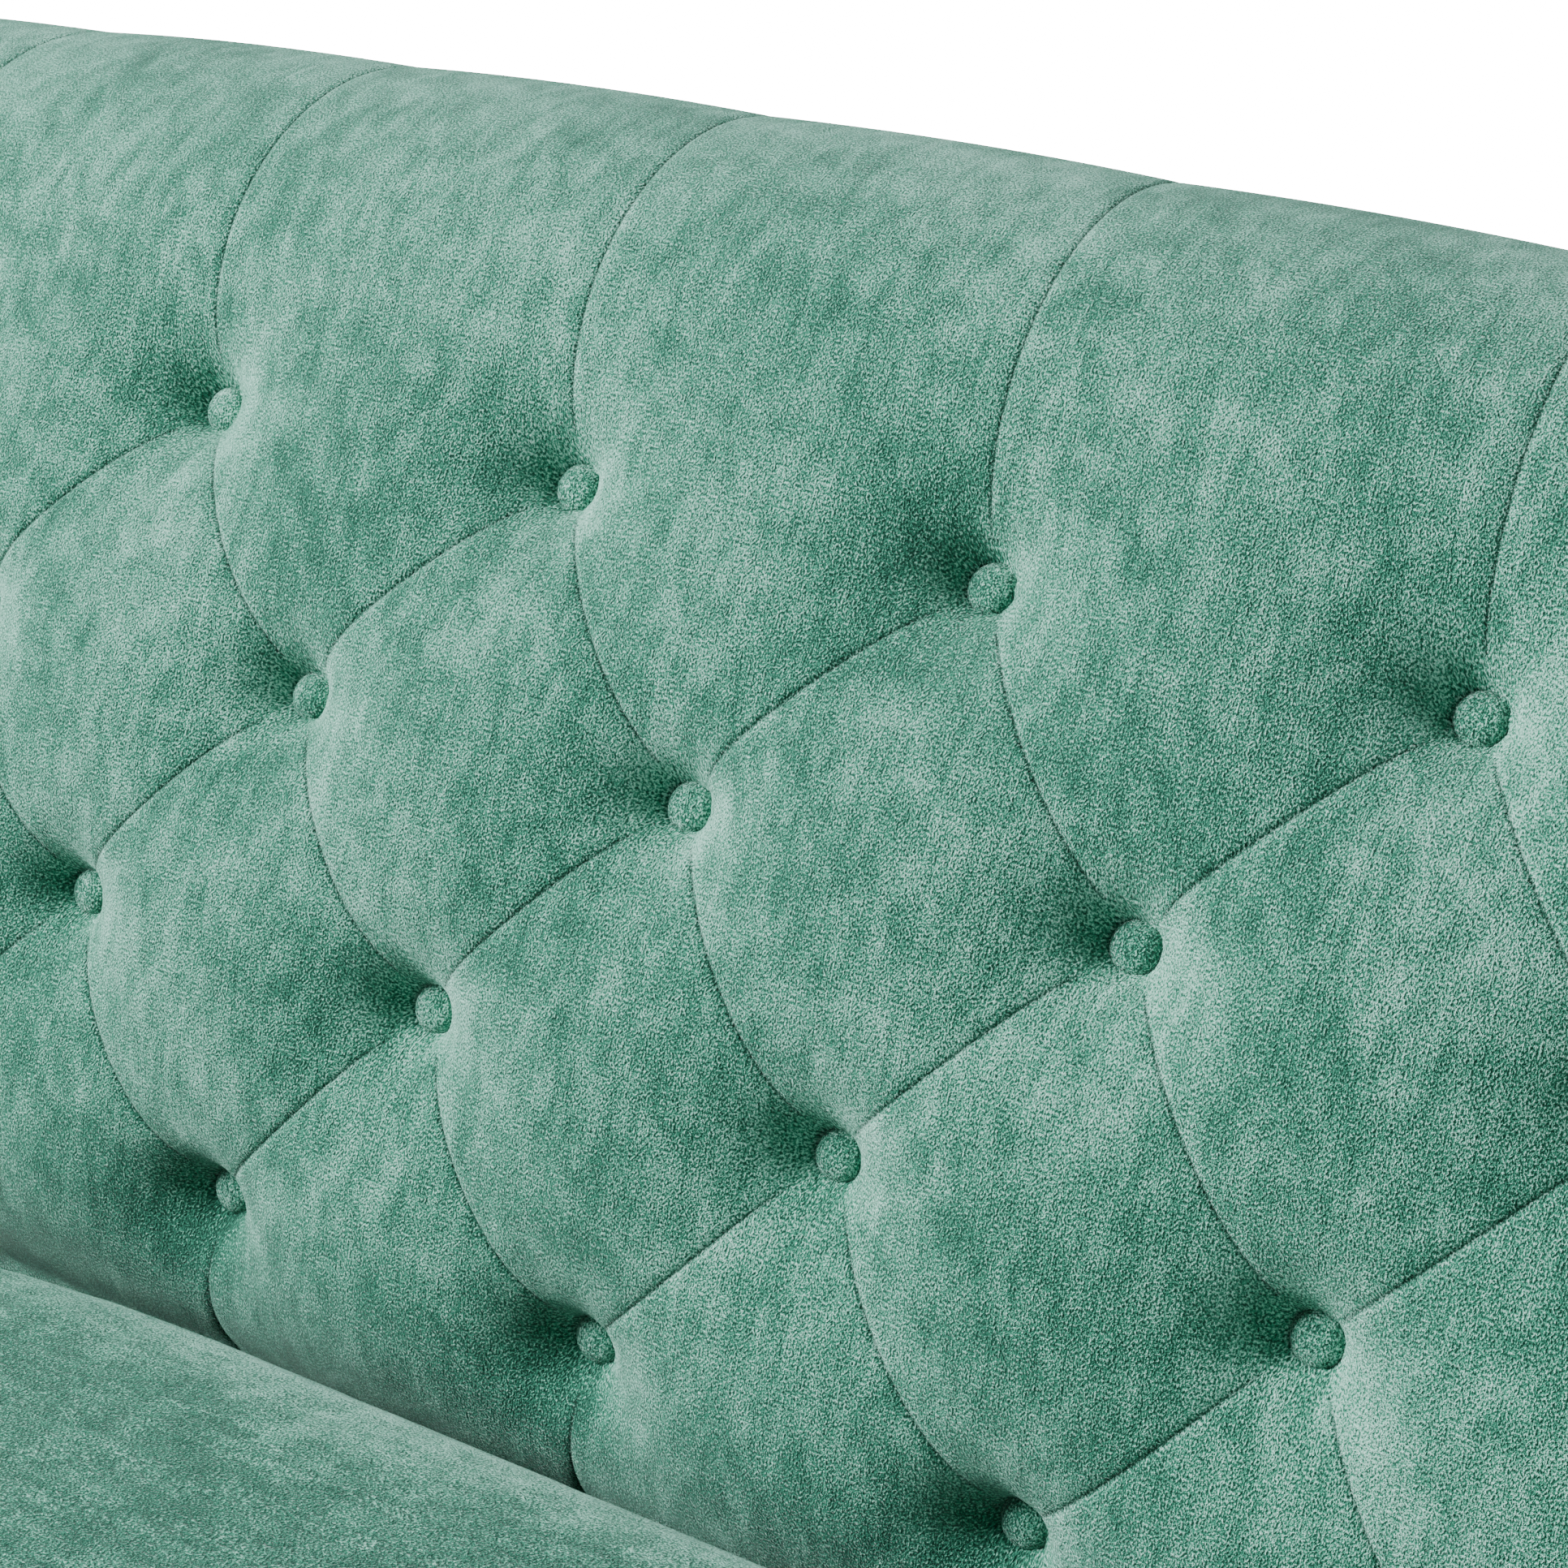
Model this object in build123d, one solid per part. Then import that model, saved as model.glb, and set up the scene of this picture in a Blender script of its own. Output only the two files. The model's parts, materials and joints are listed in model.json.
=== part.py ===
"""Two-cushion sofa with a deep-buttoned, rolled back and round-topped arms.

Millimetres. X runs along the sofa, Y from the front to the back, Z up.
The origin is on the floor, under the middle of the sofa.
"""
import os
from math import asin, atan2, ceil, cos, degrees, hypot, radians, sin, tan

from build123d import *

# Overall sizes
overall_depth = 920.0
overall_height = 878.0
seat_width = 1620.0
arm_width = 170.0
arm_height = 645.0
leg_height = 127.0
deck_height = 300.0
seat_height = 474.0

# Tufted back, seen from the side
tuft_pitch = 180.0
row_pitch = 107.0
row_count = 4
bottom_row_rise = 78.5
lower_back_radius = 584.0
roll_radius = 118.0
roll_centre_behind_arc = 321.3
roll_centre_above_arc = 357.3
crown_radius = 9470.0
pad_thickness = 58.0
puff_height = 38.0
pleat_depth = 15.0
roll_pleat_depth = 5.0
pleat_half_angle = 56.0
dimple_half_angle = 52.0

# Buttons and what ties them
button_diameter = 19.0
button_rim = 2.5
button_dome = 5.5
tie_diameter = 3.0
tie_hole = 6.0
toggle_diameter = 22.0
toggle_thickness = 5.0

# Frame
panel_thickness = 8.0
cover_thickness = 6.0
rib_thickness = 18.0
rail_thickness = 28.0
rail_height = 140.0
beam_height = 110.0
top_rail_width = 40.0
top_rail_height = 50.0
top_rail_drop = 60.0
arm_pad_thickness = 28.0
arm_rail_width = 40.0
arm_rail_height = 36.0
facing_thickness = 12.0
piping_diameter = 8.0
dust_cover_thickness = 1.5

# Seat
spring_count = 9
spring_wire = 4.0
spring_loop_width = 48.0
spring_loop_pitch = 25.0
spring_bend = 11.0
clip_width = 30.0
clip_length = 22.0
clip_wall = 1.6
cushion_corner_drop = 34.0
cushion_draw_in = 7.0
cushion_corner = 58.0
cushion_top_fillet = 44.0
cushion_bottom_fillet = 20.0

# Legs
leg_top_diameter = 54.0
leg_foot_diameter = 30.0
leg_collar_height = 16.0
block_size = 96.0
block_height = 42.0
plate_size = 70.0
plate_thickness = 3.0
bolt_diameter = 8.0
bolt_in_leg = 32.0
bolt_in_block = 30.0
plate_screw_diameter = 4.0
plate_screw_length = 18.0
plate_screw_spacing = 52.0
glide_diameter = 24.0
glide_thickness = 5.0
glide_pin_diameter = 6.0
glide_pin_length = 14.0

# Clearances
curved_gap = 0.4
soft_gap = 1.5
hole_gap = 0.05

# Places that follow from the sizes above
half_depth = overall_depth / 2
half_seat = seat_width / 2
half_width = half_seat + arm_width
rail_bottom = leg_height + plate_thickness
rail_top = rail_bottom + rail_height
roll_centre_y = half_depth - roll_radius
roll_centre_z = overall_height - roll_radius
arc_y = roll_centre_y + roll_centre_behind_arc
arc_z = roll_centre_z - roll_centre_above_arc
face_y = arc_y - lower_back_radius
tangent_lean = degrees(
    atan2(-roll_centre_behind_arc, roll_centre_above_arc)
    + asin((lower_back_radius - roll_radius) / hypot(roll_centre_behind_arc, roll_centre_above_arc))
)
arc_run = radians(tangent_lean) * lower_back_radius
tangent_run = hypot(
    roll_centre_behind_arc - (lower_back_radius - roll_radius) * cos(radians(tangent_lean)),
    roll_centre_above_arc - (lower_back_radius - roll_radius) * sin(radians(tangent_lean)),
)
crown_axis = Axis((0, 0, roll_centre_z - crown_radius), (0, 1, 0))
panel_inset = pad_thickness + panel_thickness
back_half = half_width - cover_thickness
rear_inner_y = half_depth - cover_thickness
border_back_y = -half_depth + piping_diameter + facing_thickness
sill_front_y = face_y + pad_thickness
arm_roll = arm_width / 2
arm_roll_z = arm_height - arm_roll
arm_core_inset = arm_pad_thickness + panel_thickness
pad_bottom = deck_height + soft_gap
clip_height = spring_wire + 2 * clip_wall
deck_low = rail_top + clip_height


def station(run, depth=0.0):
    """Point (y, z) and lean at a distance up the back's outer face, sunk by depth."""
    if run <= 0:
        y, z, lean = face_y, arc_z + run, 0.0
    elif run <= arc_run:
        lean = degrees(run / lower_back_radius)
        y = arc_y - lower_back_radius * cos(radians(lean))
        z = arc_z + lower_back_radius * sin(radians(lean))
    elif run <= arc_run + tangent_run:
        lean = tangent_lean
        ahead = run - arc_run
        y = arc_y - lower_back_radius * cos(radians(lean)) + ahead * sin(radians(lean))
        z = arc_z + lower_back_radius * sin(radians(lean)) + ahead * cos(radians(lean))
    else:
        lean = tangent_lean + degrees((run - arc_run - tangent_run) / roll_radius)
        y = roll_centre_y - roll_radius * cos(radians(lean))
        z = roll_centre_z + roll_radius * sin(radians(lean))
    return y + depth * cos(radians(lean)), z - depth * sin(radians(lean)), lean


def row_run(row):
    """Distance up the face of a button row; row 1 is the top one."""
    return bottom_row_rise + (row_count - row) * row_pitch


def crown_turn(x, z):
    """Turn about the crown's axis, in degrees, that brings a mid-plane point at height z to x."""
    return degrees(asin(x / (crown_radius + z - roll_centre_z)))


def row_places(row):
    """X positions of one row's buttons: odd rows straddle the middle, even rows have one on it."""
    fits_between_arms = int((half_seat - tuft_pitch / 2) // tuft_pitch)
    if row % 2:
        side = [tuft_pitch * (k + 0.5) for k in range(fits_between_arms)]
        if row == 1:
            side.append(tuft_pitch * (fits_between_arms + 0.5))
        return [-x for x in reversed(side)] + side
    side = [tuft_pitch * (k + 1) for k in range(fits_between_arms)]
    return [-x for x in reversed(side)] + [0.0] + side


BUTTONS = [(row, x) for row in range(1, row_count + 1) for x in row_places(row)]


def back_outline(inset, bottom):
    """Edges of the back's outer face sunk by inset, from the bottom up and over the roll to the rear."""
    lower = lower_back_radius - inset
    roll = roll_radius - inset

    def on_arc(lean):
        return (arc_y - lower * cos(radians(lean)), arc_z + lower * sin(radians(lean)))

    def on_roll(lean):
        return (roll_centre_y - roll * cos(radians(lean)), roll_centre_z + roll * sin(radians(lean)))

    half_lean = tangent_lean / 2
    return [
        Line((on_arc(0)[0], bottom), on_arc(0)),
        ThreePointArc(on_arc(0), on_arc(half_lean), on_arc(tangent_lean)),
        Line(on_arc(tangent_lean), on_roll(tangent_lean)),
        ThreePointArc(on_roll(tangent_lean), on_roll((tangent_lean + 90) / 2), on_roll(90)),
        ThreePointArc(on_roll(90), on_roll(135), on_roll(180)),
    ]


def outline_ends(edges):
    return edges[0] @ 0, edges[-1] @ 1


def flat_point(point):
    return (point.X, point.Y)


def shell_face(outer_inset, inner_inset, bottom):
    """Side-view face of a layer that lies between two depths under the back's outer face."""
    outer = back_outline(outer_inset, bottom)
    inner = back_outline(inner_inset, bottom)
    outer_low, outer_high = outline_ends(outer)
    inner_low, inner_high = outline_ends(inner)
    ends = [
        Line(flat_point(outer_high), flat_point(inner_high)),
        Line(flat_point(inner_low), flat_point(outer_low)),
    ]
    return Plane.YZ * make_face(outer + inner + ends)


def region_face(inset, rear_y, bottom):
    """Side-view face of all that lies behind a depth, as far as rear_y."""
    edges = back_outline(inset, bottom)
    low, high = outline_ends(edges)
    corners = [flat_point(high)]
    if abs(high.X - rear_y) > hole_gap:
        corners.append((rear_y, roll_centre_z))
    closing = Polyline(*corners, (rear_y, bottom), flat_point(low))
    return Plane.YZ * make_face(edges + [closing])


def block(x0, x1, y0, y1, z0, z1):
    return Pos((x0 + x1) / 2, (y0 + y1) / 2, (z0 + z1) / 2) * Box(x1 - x0, y1 - y0, z1 - z0)


def ball(radius):
    """Sphere with its poles on the Y axis, so that its top is one plain patch."""
    return Rot(90, 0, 0) * Sphere(radius)


def crowned(face, half_length, bottom):
    """A side-view face carried along the sofa on the gentle crown, cut square at both ends and at the bottom."""
    reach = degrees(half_length / (crown_radius - overall_height)) + 1
    turned = revolve(face, crown_axis, 2 * reach).rotate(crown_axis, -reach)
    room = block(-half_length, half_length, -half_depth, 2 * half_depth, bottom, 2 * overall_height)
    return turned & room


def on_crown(shape, x, z):
    """A shape made on the mid-plane, carried to x along the crown."""
    return shape.rotate(crown_axis, crown_turn(x, z))


def seat_plane(row, depth):
    """Plane at a button's place on the mid-plane, facing out of the back."""
    y, z, lean = station(row_run(row), depth)
    out = Vector(0, -cos(radians(lean)), sin(radians(lean)))
    return Plane(origin=(0, y, z), x_dir=(1, 0, 0), z_dir=out), z


def crown_point(row, x, depth):
    """Where a point of a button row lies once it is carried to x along the crown."""
    y, z, lean = station(row_run(row), depth)
    turn = radians(crown_turn(x, z))
    reach = crown_radius + z - roll_centre_z
    out = Vector(sin(turn) * sin(radians(lean)), -cos(radians(lean)), cos(turn) * sin(radians(lean)))
    return Vector(x, y, roll_centre_z - crown_radius + reach * cos(turn)), out


def vee_face(depth):
    """Triangle that cuts a pleat of that depth: its point is down, and it opens past the surface."""
    over = puff_height
    half = (depth + over) * tan(radians(pleat_half_angle))
    return make_face(Polyline((0, -depth), (half, over), (-half, over), close=True))


def pleat_cut(start, end, out, depth):
    """Straight pleat from one point to another on the back's outer face."""
    along = (end - start).normalized()
    across = out.cross(along).normalized()
    plane = Plane(origin=start, x_dir=across, z_dir=along)
    return extrude(plane * vee_face(depth), (end - start).length)


def roll_pleat_cut(x):
    """Pleat that runs from a top-row button up and over the roll to its rear."""
    stop = arc_run + tangent_run + radians(180 - tangent_lean) * roll_radius
    y0, z0, lean = station(row_run(1))
    y1, z1, _ = station(arc_run + tangent_run)
    y2, z2, _ = station((stop + arc_run + tangent_run) / 2)
    y3, z3, _ = station(stop)
    path = Wire([
        Line((0, y0, z0), (0, y1, z1)),
        ThreePointArc((0, y1, z1), (0, y2, z2), (0, y3, z3)),
        Line((0, y3, z3), (0, y3, z3 - pad_thickness)),
    ])
    out = Vector(0, -cos(radians(lean)), sin(radians(lean)))
    start = Plane(origin=(0, y0, z0), x_dir=(1, 0, 0), z_dir=Vector(1, 0, 0).cross(out))
    return on_crown(sweep(start * vee_face(roll_pleat_depth), path=path), x, z0)


def dimple_cut(row, x):
    """Funnel round one button, with a flat floor for it, and the hole for its tie."""
    plane, z = seat_plane(row, puff_height)
    height = puff_height * 1.25
    floor = button_diameter / 2 + curved_gap
    funnel = plane * Pos(0, 0, height / 2) * Cone(
        floor, floor + height * tan(radians(dimple_half_angle)), height)
    return on_crown(funnel, x, z)


def tie_hole_cut(row, x):
    plane, z = seat_plane(row, puff_height)
    length = 2 * panel_inset
    return on_crown(plane * Cylinder(tie_hole / 2, length), x, z)


def neighbours():
    """Pairs of buttons that a diagonal pleat joins."""
    pairs = []
    for row, x in BUTTONS:
        for below, x_below in BUTTONS:
            if below == row + 1 and abs(abs(x_below - x) - tuft_pitch / 2) < 1:
                pairs.append(((row, x), (below, x_below)))
    return pairs


def tufted_pad():
    layer = shell_face(0, pad_thickness - curved_gap, pad_bottom - tuft_pitch)
    pad = crowned(layer, back_half, pad_bottom)
    cuts = []
    for (row, x), (below, x_below) in neighbours():
        start, out_start = crown_point(row, x, 0)
        end, out_end = crown_point(below, x_below, 0)
        cuts.append(pleat_cut(start, end, (out_start + out_end).normalized(), pleat_depth))
    for x in row_places(1):
        cuts.append(roll_pleat_cut(x))
    for x in row_places(row_count):
        start, out = crown_point(row_count, x, 0)
        end = Vector(start.X, face_y, pad_bottom - pleat_depth)
        cuts.append(pleat_cut(start, end, out, pleat_depth))
    for row, x in BUTTONS:
        cuts.append(dimple_cut(row, x))
        cuts.append(tie_hole_cut(row, x))
    for cut in cuts:
        pad = pad - cut
    return pad


def back_panel():
    panel = crowned(
        shell_face(pad_thickness, panel_inset, rail_top - tuft_pitch), back_half, deck_low + soft_gap)
    for row, x in BUTTONS:
        panel = panel - tie_hole_cut(row, x)
    return panel


def button_solid():
    radius = button_diameter / 2
    height = button_rim + button_dome
    dome = (radius * radius + button_dome * button_dome) / (2 * button_dome)
    return Pos(0, 0, height / 2) * Cylinder(radius, height) & Pos(0, 0, height - dome) * ball(dome)


def buttons_and_ties():
    button = button_solid()
    tie_length = panel_inset - puff_height + curved_gap
    buttons, ties, toggles = [], [], []
    for row, x in BUTTONS:
        plane, z = seat_plane(row, puff_height)
        buttons.append(on_crown(plane * button, x, z))
        ties.append(on_crown(plane * Pos(0, 0, -tie_length / 2) * Cylinder(tie_diameter / 2, tie_length), x, z))
        toggle = Pos(0, 0, -tie_length - toggle_thickness / 2) * Cylinder(toggle_diameter / 2, toggle_thickness)
        toggles.append(on_crown(plane * toggle, x, z))
    return buttons, ties, toggles


def top_rail():
    top = roll_centre_z - top_rail_drop + top_rail_height / 2
    return block(
        -back_half, back_half,
        roll_centre_y - top_rail_width / 2, roll_centre_y + top_rail_width / 2,
        top - top_rail_height, top)


def back_ribs(rail):
    """Upright plywood ribs that carry the bent panel, notched for the top rail."""
    core = crowned(
        region_face(panel_inset + curved_gap, rear_inner_y, rail_top - tuft_pitch), back_half, rail_top)
    core = core - rail
    for row, x in BUTTONS:
        plane, z = seat_plane(row, panel_inset)
        clear = toggle_thickness + 2 * soft_gap
        room = plane * Pos(0, 0, -clear / 2) * Cylinder(toggle_diameter / 2 + soft_gap, clear)
        core = core - on_crown(room, x, z)
    inner = half_seat / 3
    ribs = []
    for x in (-back_half + rib_thickness / 2, -inner, inner, back_half - rib_thickness / 2):
        slab = block(x - rib_thickness / 2, x + rib_thickness / 2, -half_depth, half_depth, 0, overall_height)
        ribs.extend((core & slab).solids())
    return ribs


def outside_back():
    face = Plane.YZ * make_face(Polyline(
        (rear_inner_y, rail_bottom - tuft_pitch), (half_depth, rail_bottom - tuft_pitch),
        (half_depth, roll_centre_z - curved_gap), (rear_inner_y, roll_centre_z - curved_gap), close=True))
    return crowned(face, back_half, rail_bottom)


def back_facing(side):
    """Flat end panel of the back, in the back's own outline."""
    whole = crowned(region_face(0, half_depth, rail_bottom - tuft_pitch), half_width, rail_bottom)
    x0, x1 = sorted((side * back_half, side * half_width))
    facing = whole & block(x0, x1, -half_depth, half_depth, rail_bottom, overall_height)
    return facing


def mirrored(shape):
    return mirror(shape, Plane.YZ)


def arm_outline(inset, bottom):
    """Front-view edges of the right arm's round top, sunk by inset, inner side first."""
    radius = arm_roll - inset
    centre = half_seat + arm_roll
    return [
        Line((centre - radius, bottom), (centre - radius, arm_roll_z)),
        ThreePointArc((centre - radius, arm_roll_z),
                      (centre - radius * cos(radians(45)), arm_roll_z + radius * sin(radians(45))),
                      (centre, arm_roll_z + radius)),
        ThreePointArc((centre, arm_roll_z + radius),
                      (centre + radius * cos(radians(45)), arm_roll_z + radius * sin(radians(45))),
                      (centre + radius, arm_roll_z)),
    ]


def along_y(face, y0, y1):
    """A front-view face (drawn in X and Z) carried from y0 to y1."""
    return extrude(Plane(origin=(0, y0, 0), x_dir=(1, 0, 0), z_dir=(0, -1, 0)) * face, -(y1 - y0))


def arm_layer(outer_inset, inner_inset, y1):
    outer = arm_outline(outer_inset, rail_top)
    inner = arm_outline(inner_inset, rail_top)
    outer_low, outer_high = outline_ends(outer)
    inner_low, inner_high = outline_ends(inner)
    ends = [
        Line(flat_point(outer_high), flat_point(inner_high)),
        Line(flat_point(inner_low), flat_point(outer_low)),
    ]
    return along_y(make_face(outer + inner + ends), border_back_y, y1)


def arm_section(inset, outer_x, bottom):
    """Solid front-view face of the right arm inside a depth, square down to the bottom on the outer side."""
    edges = arm_outline(inset, bottom)
    low, high = outline_ends(edges)
    points = [flat_point(high)]
    if outer_x - high.X > hole_gap:
        points.append((outer_x, arm_roll_z))
    points += [(outer_x, bottom), flat_point(low)]
    return make_face(edges + [Polyline(*points)])


def arm_pieces():
    """The right arm's pieces. The left arm is their mirror image."""
    behind_face = crowned(
        region_face(-soft_gap, half_depth * 1.5, -tuft_pitch), half_width + arm_width, -tuft_pitch)
    outer_x = half_width - cover_thickness
    pad = arm_layer(0, arm_pad_thickness - curved_gap, half_depth) - behind_face
    former = arm_layer(arm_pad_thickness, arm_core_inset - curved_gap, half_depth) - behind_face
    centre = half_seat + arm_roll
    rail = block(
        centre - arm_rail_width / 2, centre + arm_rail_width / 2, border_back_y, face_y - soft_gap,
        arm_roll_z - arm_rail_height, arm_roll_z)
    core = arm_section(arm_core_inset, outer_x, rail_top)
    ribs = []
    last = face_y - rib_thickness - soft_gap
    for y in (border_back_y, (border_back_y + last) / 2, last):
        ribs.append(along_y(core, y, y + rib_thickness) - rail)
    outer = block(
        outer_x, half_width, border_back_y, half_depth, rail_bottom, arm_roll_z - curved_gap) - behind_face
    facing = along_y(arm_section(0, half_width, rail_bottom), border_back_y - facing_thickness, border_back_y)
    return {"pad": pad, "former": former, "rail": rail, "ribs": ribs, "outer_panel": outer, "facing": facing}


def arm_piping():
    """Round cord that lies on the facing's front, just inside its edge."""
    inset = piping_diameter
    radius = arm_roll - inset
    centre = half_seat + arm_roll
    y = border_back_y - facing_thickness - piping_diameter / 2
    bottom = rail_bottom + inset
    path = Wire([
        Line((centre - radius, y, bottom), (centre - radius, y, arm_roll_z)),
        ThreePointArc((centre - radius, y, arm_roll_z), (centre, y, arm_roll_z + radius),
                      (centre + radius, y, arm_roll_z)),
        Line((centre + radius, y, arm_roll_z), (centre + radius, y, bottom)),
    ])
    section = Plane(origin=(centre - radius, y, bottom), z_dir=(0, 0, 1)) * Circle(piping_diameter / 2)
    return sweep(section, path=path)


def seat_springs():
    """Sinuous springs from the front rail to the back sill, with the clips that hold their ends."""
    y0 = border_back_y + rail_thickness / 2
    y1 = sill_front_y + rail_thickness / 2
    runs = 2 * ceil((y1 - y0) / (2 * spring_loop_pitch))
    step = (y1 - y0) / runs
    z = rail_top + clip_wall + spring_wire / 2
    half = spring_loop_width / 2
    points = []
    for k in range(runs + 1):
        ends = (-half, half) if k % 2 == 0 else (half, -half)
        points += [(x, y0 + k * step, z) for x in ends]
    path = FilletPolyline(*points, radius=spring_bend)
    start = Plane(origin=points[0], z_dir=(1, 0, 0))
    spring = sweep(start * Circle(spring_wire / 2), path=path)
    clip = Box(clip_width, clip_length, clip_height) - Rot(0, 90, 0) * Cylinder(
        spring_wire / 2 + hole_gap, clip_width)
    spacing = seat_width / (spring_count + 1)
    springs, clips = [], []
    for k in range(spring_count):
        x = spacing * (k - (spring_count - 1) / 2)
        springs.append(Pos(x, 0, 0) * spring)
        clips += [Pos(x, y, z) * clip for y in (y0, y1)]
    return springs, clips


def seat_cushion():
    """Right seat cushion: crowned top, sides drawn in between the corners, soft edges."""
    x0, x1 = soft_gap / 2, half_seat - soft_gap
    y0, y1 = -half_depth, face_y - soft_gap
    width, depth = x1 - x0, y1 - y0
    total = seat_height - deck_height
    w, d = width / 2, depth / 2
    plan = make_face([
        ThreePointArc((-w, -d), (0, -d + cushion_draw_in / 2), (w, -d)),
        ThreePointArc((w, -d), (w - cushion_draw_in, 0), (w, d)),
        ThreePointArc((w, d), (0, d - cushion_draw_in), (-w, d)),
        ThreePointArc((-w, d), (-w + cushion_draw_in, 0), (-w, -d)),
    ])
    plan = fillet(plan.vertices(), cushion_corner)
    crown = (w * w + d * d + cushion_corner_drop * cushion_corner_drop) / (2 * cushion_corner_drop)
    body = extrude(plan, total) & Pos(0, 0, total - crown) * ball(crown)
    rim = body.faces().sort_by(Axis.Z)[-1].edges()
    body = fillet(rim, cushion_top_fillet)
    foot = body.faces().sort_by(Axis.Z)[0].edges()
    body = fillet(foot, cushion_bottom_fillet)
    return Pos((x0 + x1) / 2, (y0 + y1) / 2, deck_height) * body


def leg_places():
    """Leg centres: four corners and two in the middle."""
    x = back_half - rail_thickness - block_size / 2
    front = border_back_y + rail_thickness + block_size / 2
    rear = rear_inner_y - rail_thickness - block_size / 2
    return [(sx, sy) for sy in (front, rear) for sx in (-x, 0.0, x)]


def leg_solid():
    top, foot = leg_top_diameter / 2, leg_foot_diameter / 2
    profile = make_face(Polyline(
        (0, glide_thickness), (foot, glide_thickness), (top - 4, leg_height - leg_collar_height - 6),
        (top - 4, leg_height - leg_collar_height), (top, leg_height - leg_collar_height + 4),
        (top, leg_height), (0, leg_height), close=True))
    leg = revolve(Plane.XZ * profile, Axis.Z)
    bolt_hole = Pos(0, 0, leg_height - bolt_in_leg / 2) * Cylinder(bolt_diameter / 2 + hole_gap, bolt_in_leg)
    pin_hole = Pos(0, 0, glide_thickness + glide_pin_length / 2) * Cylinder(
        glide_pin_diameter / 2 + hole_gap, glide_pin_length)
    return leg - bolt_hole - pin_hole


def leg_hardware():
    """Mid-plane solids of one leg's plate, bolt, screws, glide and block."""
    bolt_hole = Cylinder(bolt_diameter / 2 + hole_gap, 4 * bolt_in_leg)
    corners = [(sx * plate_screw_spacing / 2, sy * plate_screw_spacing / 2) for sx in (-1, 1) for sy in (-1, 1)]
    plate = block(-plate_size / 2, plate_size / 2, -plate_size / 2, plate_size / 2, leg_height, rail_bottom)
    wood = block(
        -block_size / 2, block_size / 2, -block_size / 2, block_size / 2, rail_bottom, rail_bottom + block_height)
    plate, wood = plate - Pos(0, 0, leg_height) * bolt_hole, wood - Pos(0, 0, leg_height) * bolt_hole
    screws = []
    for x, y in corners:
        shank = Cylinder(plate_screw_diameter / 2 + hole_gap, 2 * plate_screw_length)
        plate, wood = plate - Pos(x, y, leg_height) * shank, wood - Pos(x, y, leg_height) * shank
        head = Pos(x, y, leg_height - 1) * Cylinder(plate_screw_diameter, 2)
        body = Pos(x, y, leg_height + plate_screw_length / 2) * Cylinder(plate_screw_diameter / 2, plate_screw_length)
        screws.append(head + body)
    bolt_length = bolt_in_leg + plate_thickness + bolt_in_block
    bolt = Pos(0, 0, leg_height - bolt_in_leg + bolt_length / 2) * Cylinder(bolt_diameter / 2, bolt_length)
    glide = Pos(0, 0, glide_thickness / 2) * Cylinder(glide_diameter / 2, glide_thickness)
    glide = glide + Pos(0, 0, (glide_thickness + glide_pin_length) / 2) * Cylinder(
        glide_pin_diameter / 2, glide_thickness + glide_pin_length)
    return {"plates": [plate], "blocks": [wood], "screws": screws, "bolts": [bolt], "glides": [glide]}


def dust_cover():
    sheet = block(
        -back_half, back_half, border_back_y, rear_inner_y, rail_bottom - dust_cover_thickness, rail_bottom)
    for x, y in leg_places():
        half = plate_size / 2 + soft_gap
        sheet = sheet - block(x - half, x + half, y - half, y + half, 0, rail_top)
    return sheet


def frame_rails():
    """The seat box: rails round the outside, a sill under the back, one under each arm, and a middle beam."""
    rail_front_y = border_back_y + rail_thickness
    rail_rear_y = rear_inner_y - rail_thickness
    inner_x = back_half - rail_thickness
    sill_x = half_seat + arm_pad_thickness
    middle_top = rail_bottom + beam_height
    front_block = rail_front_y + block_size
    rails = {
        "front_rail": block(-back_half, back_half, border_back_y, rail_front_y, rail_bottom, rail_top),
        "rear_rail": block(-back_half, back_half, rail_rear_y, rear_inner_y, rail_bottom, rail_top),
        "back_sill": block(
            -inner_x, inner_x, sill_front_y, sill_front_y + rail_thickness, rail_bottom, rail_top),
        "centre_beam": block(
            -rail_thickness / 2, rail_thickness / 2, front_block, sill_front_y, rail_bottom, middle_top),
    }
    for name, side in (("left", -1), ("right", 1)):
        x0, x1 = sorted((side * inner_x, side * back_half))
        rails[name + "_side_rail"] = block(x0, x1, rail_front_y, rail_rear_y, rail_bottom, rail_top)
        x0, x1 = sorted((side * sill_x, side * (sill_x + rail_thickness)))
        low = rail_bottom + block_height
        rails[name + "_arm_sill"] = block(x0, x1, rail_front_y, sill_front_y, low, rail_top)
    return rails


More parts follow.
